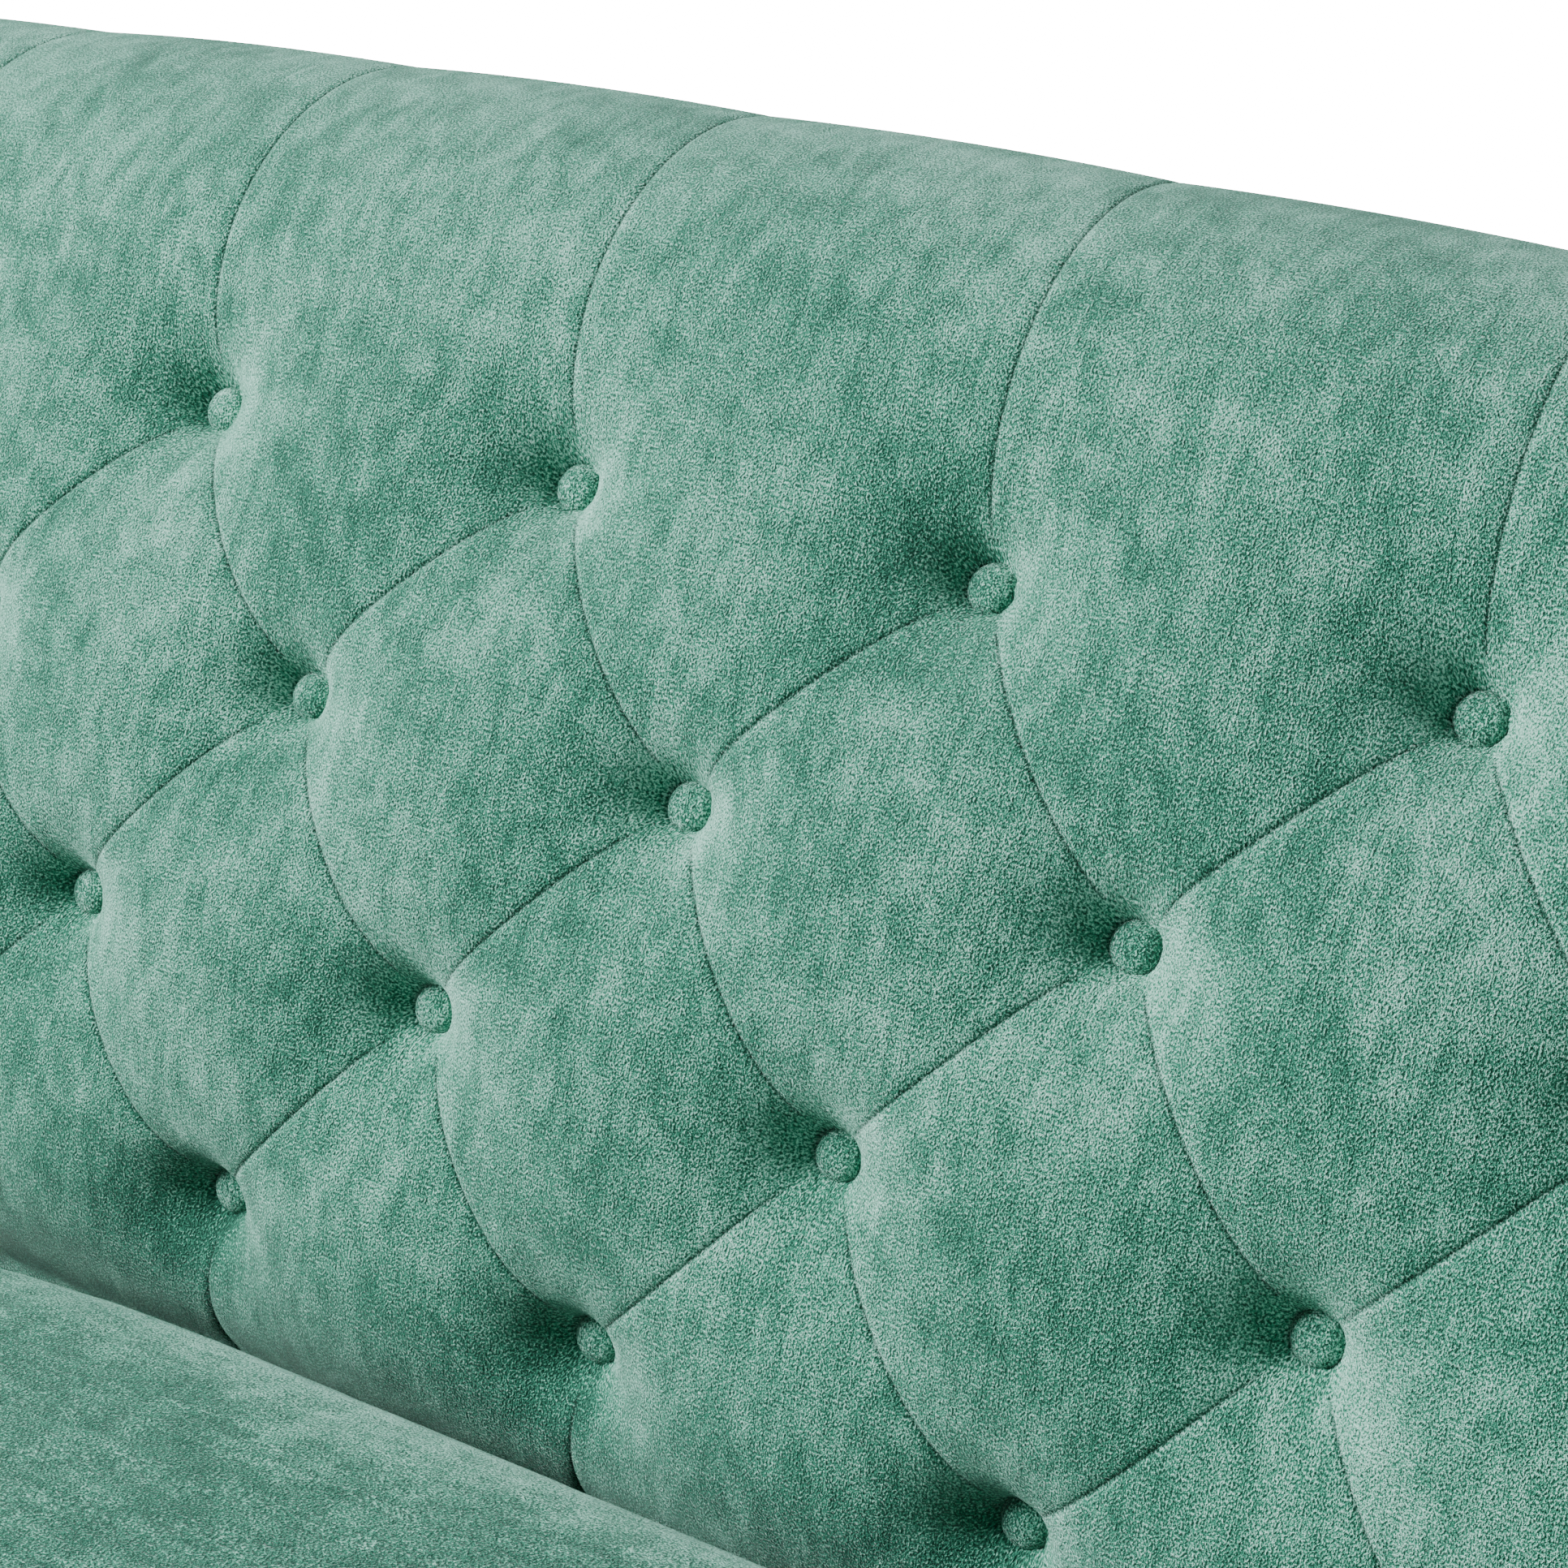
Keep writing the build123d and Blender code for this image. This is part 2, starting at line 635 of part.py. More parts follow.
def make_all():
    nodes = dict(frame_rails())
    rail = top_rail()
    buttons, ties, toggles = buttons_and_ties()
    springs, clips = seat_springs()
    nodes["back_top_rail"] = rail
    nodes["back_ribs"] = back_ribs(rail)
    nodes["back_panel"] = back_panel()
    nodes["back_tufted_pad"] = tufted_pad()
    nodes["back_buttons"] = buttons
    nodes["button_ties"] = ties
    nodes["tie_toggles"] = toggles
    nodes["outside_back"] = outside_back()
    nodes["left_back_facing"] = back_facing(-1)
    nodes["right_back_facing"] = back_facing(1)
    arm = arm_pieces()
    arm["piping"] = arm_piping()
    for piece, shape in arm.items():
        nodes["right_arm_" + piece] = shape
        nodes["left_arm_" + piece] = [mirrored(s) for s in shape] if isinstance(shape, list) else mirrored(shape)
    cushion = seat_cushion()
    nodes["right_seat_cushion"] = cushion
    nodes["left_seat_cushion"] = mirrored(cushion)
    nodes["seat_springs"] = springs
    nodes["spring_clips"] = clips
    nodes["deck_pad"] = block(
        -half_seat + soft_gap, half_seat - soft_gap, border_back_y, sill_front_y - soft_gap / 2,
        deck_low, deck_height)
    nodes["front_border"] = block(
        -half_seat + curved_gap, half_seat - curved_gap,
        border_back_y - facing_thickness, border_back_y, rail_bottom, deck_height - curved_gap)
    nodes["dust_cover"] = dust_cover()
    leg = leg_solid()
    hardware = leg_hardware()
    nodes["legs"] = [Pos(x, y, 0) * leg for x, y in leg_places()]
    for name in hardware:
        nodes["leg_" + name] = [Pos(x, y, 0) * s for x, y in leg_places() for s in hardware[name]]
    return nodes


def main():
    os.makedirs("parts", exist_ok=True)
    for name, shape in make_all().items():
        solids = shape if isinstance(shape, list) else [shape]
        solids = [s for part in solids for s in part.solids()]
        out = solids[0] if len(solids) == 1 else Compound(children=solids)
        export_step(out, f"parts/{name}.step")


main()
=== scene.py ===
import json
from math import asin, atan2, cos, hypot, pi, radians, sin

import bmesh
import bpy
import numpy as np
from mathutils import Matrix, Vector
from mathutils.bvhtree import BVHTree

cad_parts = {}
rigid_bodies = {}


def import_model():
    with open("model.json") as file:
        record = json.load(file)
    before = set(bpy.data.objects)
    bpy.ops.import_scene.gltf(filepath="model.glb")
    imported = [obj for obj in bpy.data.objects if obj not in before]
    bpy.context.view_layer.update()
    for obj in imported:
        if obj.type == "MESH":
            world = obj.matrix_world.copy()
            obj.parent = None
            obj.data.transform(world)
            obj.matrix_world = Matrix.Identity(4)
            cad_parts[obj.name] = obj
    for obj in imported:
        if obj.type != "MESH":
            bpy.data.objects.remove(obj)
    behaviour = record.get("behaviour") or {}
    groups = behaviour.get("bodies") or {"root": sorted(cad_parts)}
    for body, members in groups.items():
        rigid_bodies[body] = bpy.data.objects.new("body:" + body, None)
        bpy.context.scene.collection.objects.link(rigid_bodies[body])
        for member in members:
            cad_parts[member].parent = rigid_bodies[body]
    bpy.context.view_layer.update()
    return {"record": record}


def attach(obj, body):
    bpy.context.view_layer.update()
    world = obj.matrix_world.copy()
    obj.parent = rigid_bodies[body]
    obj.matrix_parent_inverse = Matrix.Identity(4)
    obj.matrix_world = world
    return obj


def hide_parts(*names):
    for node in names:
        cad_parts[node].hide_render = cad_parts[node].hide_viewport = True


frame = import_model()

# Sizes in metres, as on the drawing of the sofa
HALF_DEPTH = 0.460
HEIGHT = 0.878
HALF_SEAT = 0.810
ARM_WIDTH = 0.170
ARM_TOP = 0.645
HALF_WIDTH = HALF_SEAT + ARM_WIDTH
RAIL_BOTTOM = 0.130
DECK = 0.300
SEAT = 0.474
BORDER_BACK = -0.440
FACING = 0.012
COVER = 0.006
END = HALF_WIDTH - COVER

# The arms' front view: radius of the round top, its middle, and the height where it starts
ARM_ROLL = ARM_WIDTH / 2
ARM_MIDDLE = HALF_SEAT + ARM_ROLL
ARM_ROUND = ARM_TOP - ARM_ROLL

# The back's side view: an upright, a long arc, a straight and the roll
LOWER_R = 0.584
ROLL_R = 0.118
ROLL_BACK = 0.3213
ROLL_UP = 0.3573
CROWN_R = 9.470
ROLL_Y = HALF_DEPTH - ROLL_R
ROLL_Z = HEIGHT - ROLL_R
ARC_Y = ROLL_Y + ROLL_BACK
ARC_Z = ROLL_Z - ROLL_UP
LEAN = atan2(-ROLL_BACK, ROLL_UP) + asin((LOWER_R - ROLL_R) / hypot(ROLL_BACK, ROLL_UP))
ARC_RUN = LEAN * LOWER_R
LINE_RUN = hypot(ROLL_BACK - (LOWER_R - ROLL_R) * cos(LEAN), ROLL_UP - (LOWER_R - ROLL_R) * sin(LEAN))
REAR_RUN = ARC_RUN + LINE_RUN + (pi - LEAN) * ROLL_R

# Tufting: the places of the buttons, across the sofa and up the back's face
HALF_PITCH = 0.090
ROW_PITCH = 0.107
BOTTOM_ROW = 0.0785
ROW_RUN = {row: BOTTOM_ROW + (4 - row) * ROW_PITCH for row in range(1, 5)}
LAST_COLUMN = {1: 9, 2: 8, 3: 7, 4: 8}
# Pleat ends that an arm or the sofa's end hides: row, column, and how far they are drawn in
HIDDEN_ENDS = ((1, 11, 0.0), (2, 10, 0.35), (3, 9, 0.5), (4, 10, 0.3), (3, 11, 0.1), (2, 12, 0.1))

# Tufting: heights above the buttons' level, which lies SEAT_DEPTH under the plain face
SEAT_DEPTH = 0.038
PLEAT_RISE = 0.0320
PUFF_RISE = 0.0052
PUFF_VARIETY = (0.93, 1.08)
PLEAT_SAG = 0.0045
PLEAT_HOLD = 0.040
SAG_FADE = 0.09
ROLL_PLEAT = 0.0366
ROLL_PUFF = 0.0016
ROLL_RAMP = 0.070
ROLL_BLEND = 0.075
TUCK = 0.030
TUCK_RUN = 0.075
LOW_PUFF = 0.005
LOW_BLEND = 0.055
LOW_REACH = 0.105
STITCH_DEPTH = 0.0012
STITCH_WIDTH = 0.0013
END_ROUND = 0.018
END_SINK = 0.012
PAD_BOTTOM = 0.3015
PAD_INNER = 0.0572
INNER_ROWS = 26
INNER_COLUMNS = 15
INNER_PLEAT_DISTANCE = 0.05
CELL_STEPS = 28
CELL_CROWDING = 0.45

# The hollow round a button: a floor, a short steep wall, and a slope that is longer below the button
FUNNEL_FLOOR = 0.0088
FUNNEL_WALL = 0.003
FUNNEL_SLOPE = 0.0225
FUNNEL_TILT = 0.0055
WALL_SHARE = 0.20
BUTTON_R = 0.0097
BUTTON_OUT = 0.0012
BUTTON_DOME = 0.0056
BUTTON_UNDER = 0.0026
BUTTON_FOLDS = 9
FOLD_DEPTH = 0.012

# Painted light on the back: a painted highlight on the sides of the tufts that face left, towards the key
# lamp, and painted shade in the crevice above the seat
LEFT_FACING_HIGHLIGHT = 1.0
LEFT_FACING_START = 0.12
CREVICE_SHADE = 0.62
CREVICE_RUN = 0.113
CREVICE_FADE = 0.055

# Painted light on the cushions by the tilt of their cover: the upright sides are lifted out of the seat
# finish's painted shade, and the rounded edges get a painted highlight
UPRIGHT_TONE = 0.72
UPRIGHT_TILT = radians(50)
UPRIGHT_FADE = radians(32)
EDGE_HIGHLIGHT = 1.45
EDGE_TILT = radians(36)
EDGE_SPREAD = radians(20)

# The right seat cushion before it is filled, the fill, and the room that the cushion stays in
BLANK_X = (0.0030, HALF_SEAT - 0.0045)
BLANK_Y = (-HALF_DEPTH + 0.003, 0.0765)
BLANK_LIFT = 0.003
BLANK_CUTS = 47
BLANK_CROWDING = 1.35
BLANK_ROUND = 0.046
BLANK_CROWN = 0.008
BLANK_DIP = 0.0045
BLANK_WAIST = (0.006, 0.004)
CORNER_START = 1.35
CORNER_RUN = 0.6
CORNER_CUT = (0.020, 0.022, 0.017)
FILL_VOXEL = 0.006
FILL_PRESSURE = 3.0
FILL_MOVE = 0.006
FILL_FRAMES = 20
CUSHION_ROOM = (
    (0.0012, -HALF_DEPTH - 0.004, DECK + 0.0012),
    (HALF_SEAT - 0.0022, 0.0780, SEAT + 0.012))

# Arm covers and welts
ARM_LOW = 0.271
ARM_PAD = 0.0272
ARM_STATIONS = 73
ARM_SWELL = 0.0035
ARM_INSIDE_SWELL = 0.0010
ARM_NOSE = 0.004
ARM_NOSE_RUN = 0.02
ARM_REAR_GAP = 0.0012
WELT_R = 0.004
WELT_INSET = 0.0075
WELT_OUT = 0.0017
WELT_BOTTOM = RAIL_BOTTOM + 0.008

# Upholstered panels: thickness, softness of the edge and crown
THIN_PANEL = (COVER - 0.001, 0.004, 0.002)
ARM_PANEL = (FACING - 0.0015, 0.005, 0.0015)
BORDER_PANEL = (FACING - 0.003, 0.006, 0.003)
DECK_PANEL = (0.0215, 0.010, 0.0005)
DECK_UNDER = 0.2775
DECK_REAR = 0.1355
PANEL_RINGS = (0.12, 0.25, 0.4, 0.55, 0.7, 0.85, 0.95)
COVER_BOTTOM = RAIL_BOTTOM + 0.0002
SEAM_GAP = 0.0008
SIDE_GAP = 0.0007
FRONT_GAP = 0.0006
REAR_GAP = 0.0004

# The dust sheet: places of the leg plates, half the size of their holes, the cloth's side, front and rear
LEG_X = (-0.898, 0.0, 0.898)
LEG_Y = (-0.364, 0.378)
LEG_HOLE = 0.0365
CLOTH_EDGE = (END, BORDER_BACK, 0.454)
CLOTH_LEVEL = RAIL_BOTTOM - 0.0012
CLOTH_STEP = 0.020
CLOTH_SAG = 0.006
CLOTH_RIPPLE = 0.0006
CLOTH_TAUT = 0.12
CLOTH_THICK = 0.0010

# The wire springs under the seat
SPRING_COUNT = 9
SPRING_SPACING = 0.162
SPRING_WIRE = 0.004
SPRING_HALF = 0.024
SPRING_BEND = 0.011
SPRING_RUNS = 24
SPRING_ENDS = (-0.426, 0.1513)
SPRING_LEVEL = 0.2736

# The velvet's tone: how far the stored painted light and shade and each noise move it
PAINTED_LIGHT_SHARE = 0.40
PATCH_SHARE = 0.75
CLOUD_SHARE = 0.85
STREAK_SHARE = 0.35
GRAIN_SHARE = 3.0

# Room, lights (name, place, aim, size, watts) and camera
ROOM_LIGHT = 0.06
WHITE_GLOW = 24.0
LIGHTS = (
    ("key", (-1.79, -1.39, 2.36), (0.28, 0.2, 0.65), (1.2, 1.2), 268),
    ("front", (1.8, -3.0, 2.2), (0, 0.2, 0.6), (2.2, 1.6), 5),
    ("rear", (0.8, 3.2, 2.4), (0, 0.3, 0.6), (2.5, 1.5), 22),
    ("side", (3.3, 1.7, 0.9), (0.98, 0.15, 0.45), (1.4, 1.2), 30),
    ("top", (0.3, 0.75, 2.35), (0.3, 0.2, 0.6), (2.4, 0.9), 11))
CAMERA_AZIMUTH = radians(33.8065)
CAMERA_ELEVATION = radians(22.058)
CAMERA_PLACE = (0.9490, -0.6368, 1.0765)
CAMERA_FOCUS = 3747.6 / 1932
CAMERA_SENSOR = 36


# Shared helpers

def smooth(t):
    t = np.clip(t, 0, 1)
    return t * t * (3 - 2 * t)


def object_from(name, verts, faces):
    mesh = bpy.data.meshes.new(name)
    mesh.from_pydata([tuple(map(float, v)) for v in verts], [], [tuple(map(int, f)) for f in faces])
    mesh.update()
    made = bpy.data.objects.new(name, mesh)
    bpy.context.scene.collection.objects.link(made)
    return made


def pick(piece):
    """Selects one piece alone and makes it the active one."""
    bpy.ops.object.select_all(action="DESELECT")
    piece.select_set(True)
    bpy.context.view_layer.objects.active = piece


def moved_copy(piece, matrix):
    """A copy of a piece with a mesh of its own, moved by a matrix."""
    copy = piece.copy()
    copy.data = piece.data.copy()
    copy.data.transform(matrix)
    bpy.context.scene.collection.objects.link(copy)
    return copy


def join(pieces):
    """Joins pieces into the first of them."""
    pick(pieces[0])
    for piece in pieces:
        piece.select_set(True)
    bpy.ops.object.join()
    return pieces[0]


def point_rows(mesh, what="co"):
    """The places or the normals of a mesh's points, three numbers to a row."""
    values = np.zeros(len(mesh.vertices) * 3)
    mesh.vertices.foreach_get(what, values)
    return values.reshape(-1, 3)


def point_values(mesh, name, values):
    """Stores one number per point, for the finishes to read."""
    mesh.attributes.new(name, "FLOAT", "POINT").data.foreach_set("value", values.astype(np.float32))


def line(a, b, step=0.02):
    """Points from a towards b, without b."""
    n = max(1, int(round(hypot(b[0] - a[0], b[1] - a[1]) / step)))
    return [(a[0] + (b[0] - a[0]) * k / n, a[1] + (b[1] - a[1]) * k / n) for k in range(n)]


def box_outline(left, right, low, high):
    """A closed ring of points round a rectangle."""
    corners = [(left, low), (right, low), (right, high), (left, high)]
    return [point for a, b in zip(corners, corners[1:] + corners[:1]) for point in line(a, b)]


def ring_faces(rings, count):
    """Quads between rings of count points each, and then a face over each end."""
    faces = []
    for j in range(rings - 1):
        for k in range(count):
            a, b = j * count + k, j * count + (k + 1) % count
            faces.append((a, b, b + count, a + count))
    faces.append(tuple(range(count)))
    faces.append(tuple((rings - 1) * count + k for k in range(count)))
    return faces


def clean_mesh(piece, angle, weld=1e-6, drop_slivers=False):
    """Welds close points, turns the faces outwards and shades smoothly up to an angle in degrees."""
    bm = bmesh.new()
    bm.from_mesh(piece.data)
    bmesh.ops.remove_doubles(bm, verts=bm.verts[:], dist=weld)
    if drop_slivers:
        bmesh.ops.dissolve_degenerate(bm, edges=bm.edges[:], dist=1e-6)
    bmesh.ops.recalc_face_normals(bm, faces=bm.faces[:])
    bm.to_mesh(piece.data)
    bm.free()
    pick(piece)
    bpy.ops.object.shade_smooth_by_angle(angle=radians(angle))


# The tufted back

def back_face(run, depth):
    """Y and Z of the back's outer face at a distance up it, sunk by depth."""
    run = np.asarray(run, float)
    on_arc = np.clip(run, 0, ARC_RUN) / LOWER_R
    on_line = np.clip(run - ARC_RUN, 0, LINE_RUN)
    on_roll = np.maximum(run - ARC_RUN - LINE_RUN, 0) / ROLL_R
    lean = on_arc + on_roll
    y = ARC_Y - LOWER_R * np.cos(on_arc) + on_line * sin(LEAN)
    z = ARC_Z + np.minimum(run, 0) + LOWER_R * np.sin(on_arc) + on_line * cos(LEAN)
    y = y + np.where(on_roll > 0, ROLL_R * (cos(LEAN) - np.cos(lean)), 0)
    z = z + np.where(on_roll > 0, ROLL_R * (np.sin(lean) - sin(LEAN)), 0)
    return y + depth * np.cos(lean), z - depth * np.sin(lean)


def crown_drop(x):
    """How far the back's top falls from the middle of the sofa to a place along it."""
    return np.asarray(x) ** 2 / (2 * CROWN_R)


END_DROP = float(crown_drop(HALF_WIDTH))


def end_front(z):
    """Y of the back's front face at the sofa's end, at a height."""
    y, height = back_face(np.linspace(0, ARC_RUN + LINE_RUN + 0.1, 400), 0.0)
    return float(np.interp(z + END_DROP, height, y))


def back_point(x, run, height):
    """Points of the back: along the sofa, up its face, and out from the buttons' level."""
    y, z = back_face(run, SEAT_DEPTH - np.asarray(height))
    return np.stack([np.broadcast_to(x, y.shape), y, z - crown_drop(x)], axis=-1)


def back_vector(x, run, height):
    """One point of the back."""
    return Vector(back_point(np.array([x]), np.array([run]), np.array([height]))[0])


def button_list():
    """Button places (row, column, weight); a weight under 1 is a hidden pleat end without a button."""
    places = []
    for row, last in LAST_COLUMN.items():
        places += [(row, column, 1.0) for column in range(-last, last + 1, 2)]
    for row, column, weight in HIDDEN_ENDS:
        places += [(row, -column, weight), (row, column, weight)]
    return places


BUTTONS = button_list()


def funnel(x, run):
    """How far the buttons draw the cover in, from 1 at a button to 0 away from it."""
    total = np.zeros(np.broadcast(x, run).shape)
    for row, column, weight in BUTTONS:
        radius = np.hypot(x - column * HALF_PITCH, run - ROW_RUN[row])
        above = (run - ROW_RUN[row]) / np.maximum(radius, 0.004)
        reach = np.maximum(radius - FUNNEL_FLOOR, 0)
        wall = np.exp(-((reach / FUNNEL_WALL) ** 0.9))
        slope = np.exp(-((reach / (FUNNEL_SLOPE - FUNNEL_TILT * above)) ** 1.15))
        total += weight * (WALL_SHARE * wall + (1 - WALL_SHARE) * slope)
    return np.minimum(total, 1)


def pleat_sag(x, run):
    """How far the pleats hang below the straight lines between the buttons that hold them."""
    held = np.zeros(np.broadcast(x, run).shape)
    for row, column, _ in BUTTONS:
        radius = np.hypot(x - column * HALF_PITCH, run - ROW_RUN[row])
        held += np.exp(-((radius / PLEAT_HOLD) ** 2))
    fade = smooth((ROW_RUN[1] + SAG_FADE - run) / SAG_FADE) * smooth((run + 0.06) / 0.08)
    return PLEAT_SAG * (1 - np.minimum(held, 1)) * fade


def pleat_level(run):
    """Height of the pleats away from the buttons: it rises on to the roll and tucks in behind the seat."""
    up = smooth((run - ROW_RUN[1]) / ROLL_RAMP)
    down = np.clip((ROW_RUN[4] - run) / TUCK_RUN, 0, 1) ** 2
    return PLEAT_RISE + (ROLL_PLEAT - PLEAT_RISE) * up - TUCK * down


class Patchwork:
    """Collects the tufts' grids and joins them where they share an edge."""

    def __init__(self):
        self.rows = []
        self.faces = []
        self.count = 0

    def add_grid(self, x, run, bulge, seam):
        self.rows.append(np.stack([x.ravel(), run.ravel(), bulge.ravel(), seam.ravel()], axis=-1))
        index = np.arange(x.size).reshape(x.shape) + self.count
        quads = np.stack([index[:-1, :-1], index[:-1, 1:], index[1:, 1:], index[1:, :-1]], axis=-1)
        self.faces.append(quads.reshape(-1, 4))
        self.count += x.size

    def joined(self):
        data = np.concatenate(self.rows)
        faces = np.concatenate(self.faces)
        keys = np.round(data[:, :2] * 1e5).astype(np.int64)
        _, first, inverse = np.unique(keys, axis=0, return_index=True, return_inverse=True)
        merged = []
        for quad in inverse.ravel()[faces]:
            ring = [v for k, v in enumerate(quad) if v != quad[k - 1]]
            if len(ring) > 2:
                merged.append(ring)
        return data[first], merged


def tuft_cells():
    """Flat points (across, up, bulge, distance to a pleat) and faces of all the tufts."""
    work = Patchwork()
    even = np.linspace(-1, 1, CELL_STEPS + 1)
    grid = even * (1 + CELL_CROWDING - CELL_CROWDING * even * even)
    half_cell = HALF_PITCH * ROW_PITCH / hypot(HALF_PITCH, ROW_PITCH)
    variety = np.random.default_rng(7)

    def diamond_values(u, v, rise):
        bulge = rise * (1 - u * u) * (1 - v * v)
        seam = np.minimum(1 - np.abs(u), 1 - np.abs(v)) * half_cell
        return bulge, seam

    for row, last in ((1, 11), (2, 10)):
        for column in range(-last, last + 1, 2):
            u, v = np.meshgrid(grid, grid, indexing="ij")
            rise = PUFF_RISE * variety.uniform(*PUFF_VARIETY)
            bulge, seam = diamond_values(u, v, rise)
            x = (column + (u - v) / 2) * HALF_PITCH
            run = ROW_RUN[row + 1] + (u + v) / 2 * ROW_PITCH
            work.add_grid(x, run, bulge, seam)

    def house(column, row, way, length, level_puff, ramp):
        """A tuft that starts as half a diamond at one row and runs on straight between two pleats."""
        rise = PUFF_RISE * variety.uniform(*PUFF_VARIETY)
        tau, w = np.meshgrid((1 - grid) / 2, grid, indexing="ij")
        across = w * (1 - tau)
        bulge, seam = diamond_values(across - tau, -across - tau, rise)
        seam = np.minimum(seam, (1 - np.abs(across)) * HALF_PITCH + tau)
        work.add_grid((column + across) * HALF_PITCH, ROW_RUN[row] - way * tau * ROW_PITCH, bulge, seam)
        near = np.linspace(0, 0.066, 15)
        far = np.arange(0.072, length - 0.004, 0.0085)
        along, w = np.meshgrid(np.concatenate([near, far, [length]]), grid, indexing="ij")
        blend = smooth(along / ramp)
        bulge = (rise + (level_puff - rise) * blend) * (1 - w * w) ** (2 - blend)
        seam = (1 - np.abs(w)) * HALF_PITCH
        work.add_grid((column + w) * HALF_PITCH, ROW_RUN[row] + way * along, bulge, seam)

    for column in range(-10, 11, 2):
        house(column, 1, 1, REAR_RUN - ROW_RUN[1], ROLL_PUFF, ROLL_BLEND)
    for column in range(-11, 12, 2):
        house(column, 4, -1, ROW_RUN[4] + LOW_REACH, LOW_PUFF, LOW_BLEND)
    return work.joined()


def tufted_back():
    """The inside back: one cover drawn into pleats and buttons, over the roll to its rear, closed behind."""
    data, faces = tuft_cells()
    x, run, bulge, seam = data.T
    run = run - pleat_sag(x, run)
    drawn = funnel(x, run)
    height = pleat_level(run) * (1 - drawn) + bulge
    height -= STITCH_DEPTH * np.exp(-((seam / STITCH_WIDTH) ** 2)) * smooth(1.35 - 2.0 * drawn)
    # The painted shade along the pleats fades out close to the buttons
    seam = seam + 0.004 * smooth((drawn - 0.55) / 0.25)
    height -= END_SINK * np.clip((END_ROUND - (END - np.abs(x))) / END_ROUND, 0, 1) ** 2
    piece = object_from("back_tufting", back_point(x, run, height), faces)
    mesh = piece.data
    point_values(mesh, "seam", seam)
    point_values(mesh, "rise", run)
    bm = bmesh.new()
    bm.from_mesh(mesh)
    cuts = (((END, 0, 0), (1, 0, 0)), ((-END, 0, 0), (-1, 0, 0)), ((0, 0, PAD_BOTTOM), (0, 0, -1)))
    for place, normal in cuts:
        everything = bm.verts[:] + bm.edges[:] + bm.faces[:]
        bmesh.ops.bisect_plane(
            bm, geom=everything, plane_co=place, plane_no=normal, clear_outer=True, dist=1e-7)
    close_back(bm)
    pleat_layer = bm.verts.layers.float["seam"]
    for edge in bm.edges:
        on_pleat = all(v[pleat_layer] < 1e-3 for v in edge.verts)
        edge.smooth = not (on_pleat and edge.calc_length() > 1e-5)
    bm.to_mesh(mesh)
    bm.free()
    rise = np.zeros(len(mesh.vertices), np.float32)
    mesh.attributes["rise"].data.foreach_get("value", rise)
    # Painted highlight on the sides of the tufts that face left, towards the key lamp
    painted_highlight = LEFT_FACING_HIGHLIGHT * np.clip(-point_rows(mesh, "normal")[:, 0] - LEFT_FACING_START, 0, 1)
    # Painted shade in the crevice above the seat, fading out higher up the back
    painted_crevice_shade = CREVICE_SHADE * smooth((CREVICE_RUN - rise) / CREVICE_FADE)
    point_values(mesh, "painted_light", painted_highlight - painted_crevice_shade)
    cloth = mesh.uv_layers.new(name="cloth")
    for loop in mesh.loops:
        cloth.data[loop.index].uv = (mesh.vertices[loop.vertex_index].co.x, rise[loop.vertex_index])
    return piece


def close_back(bm):
    """Gives the tufted cover its inner side and its four edges, so that the pad is closed."""
    rise = bm.verts.layers.float["rise"]
    seam = bm.verts.layers.float["seam"]
    border = {v for e in bm.edges if e.is_boundary for v in e.verts}
    near = 2e-5
    bottom = sorted((v for v in border if abs(v.co.z - PAD_BOTTOM) < near), key=lambda v: v.co.x)
    rear = sorted((v for v in border if v[rise] > REAR_RUN - 1e-6), key=lambda v: v.co.x)
    sides = {}
    for side in (-1, 1):
        sides[side] = sorted((v for v in border if v.co.x * side > END - near), key=lambda v: v[rise])
    inner = []
    for x in np.linspace(-END, END, INNER_COLUMNS):
        start = PAD_BOTTOM - ARC_Z + crown_drop(x)
        column = []
        for k in range(INNER_ROWS + 1):
            run = start + (REAR_RUN - start) * k / INNER_ROWS
            vert = bm.verts.new(back_vector(x, run, SEAT_DEPTH - PAD_INNER))
            vert[rise] = run
            vert[seam] = INNER_PLEAT_DISTANCE
            column.append(vert)
        inner.append(column)
    for left, right in zip(inner, inner[1:]):
        for k in range(INNER_ROWS):
            bm.faces.new((left[k], right[k], right[k + 1], left[k + 1]))
    bm.faces.new(bottom + [column[0] for column in reversed(inner)])
    bm.faces.new(rear + [column[-1] for column in reversed(inner)])
    bm.faces.new(sides[-1] + list(reversed(inner[0])))
    bm.faces.new(sides[1] + list(reversed(inner[-1])))
    bmesh.ops.recalc_face_normals(bm, faces=bm.faces[:])
    for face in bm.faces:
        face.smooth = len(face.verts) < 8


def covered_buttons():
    """Small domes covered in the same cloth, one at each real button place."""
    bpy.ops.object.select_all(action="DESELECT")
    bpy.ops.mesh.primitive_uv_sphere_add(segments=28, ring_count=14, radius=BUTTON_R)
    dome = bpy.context.object
    for vert in dome.data.vertices:
        up = vert.co.z / BUTTON_R
        vert.co.z = BUTTON_OUT + (BUTTON_DOME if up > 0 else BUTTON_UNDER) * up
        wrap = max(0.0, 1 - abs(up) * 2.2)
        turn = atan2(vert.co.y, vert.co.x)
        swell = 1 + FOLD_DEPTH * wrap * sin(BUTTON_FOLDS * turn)
        vert.co.x *= swell
        vert.co.y *= swell
    copies = []
    for row, column, weight in BUTTONS:
        if weight < 1:
            continue
        here, out = (back_vector(column * HALF_PITCH, ROW_RUN[row], height) for height in (0, 0.01))
        turn = (out - here).normalized().to_track_quat("Z", "Y").to_matrix().to_4x4()
        copies.append(moved_copy(dome, Matrix.Translation(here) @ turn))
    bpy.data.objects.remove(dome)
    buttons = join(copies)
    buttons.name = "covered_buttons"
    buttons.data.shade_smooth()
    return buttons


# The seat cushions

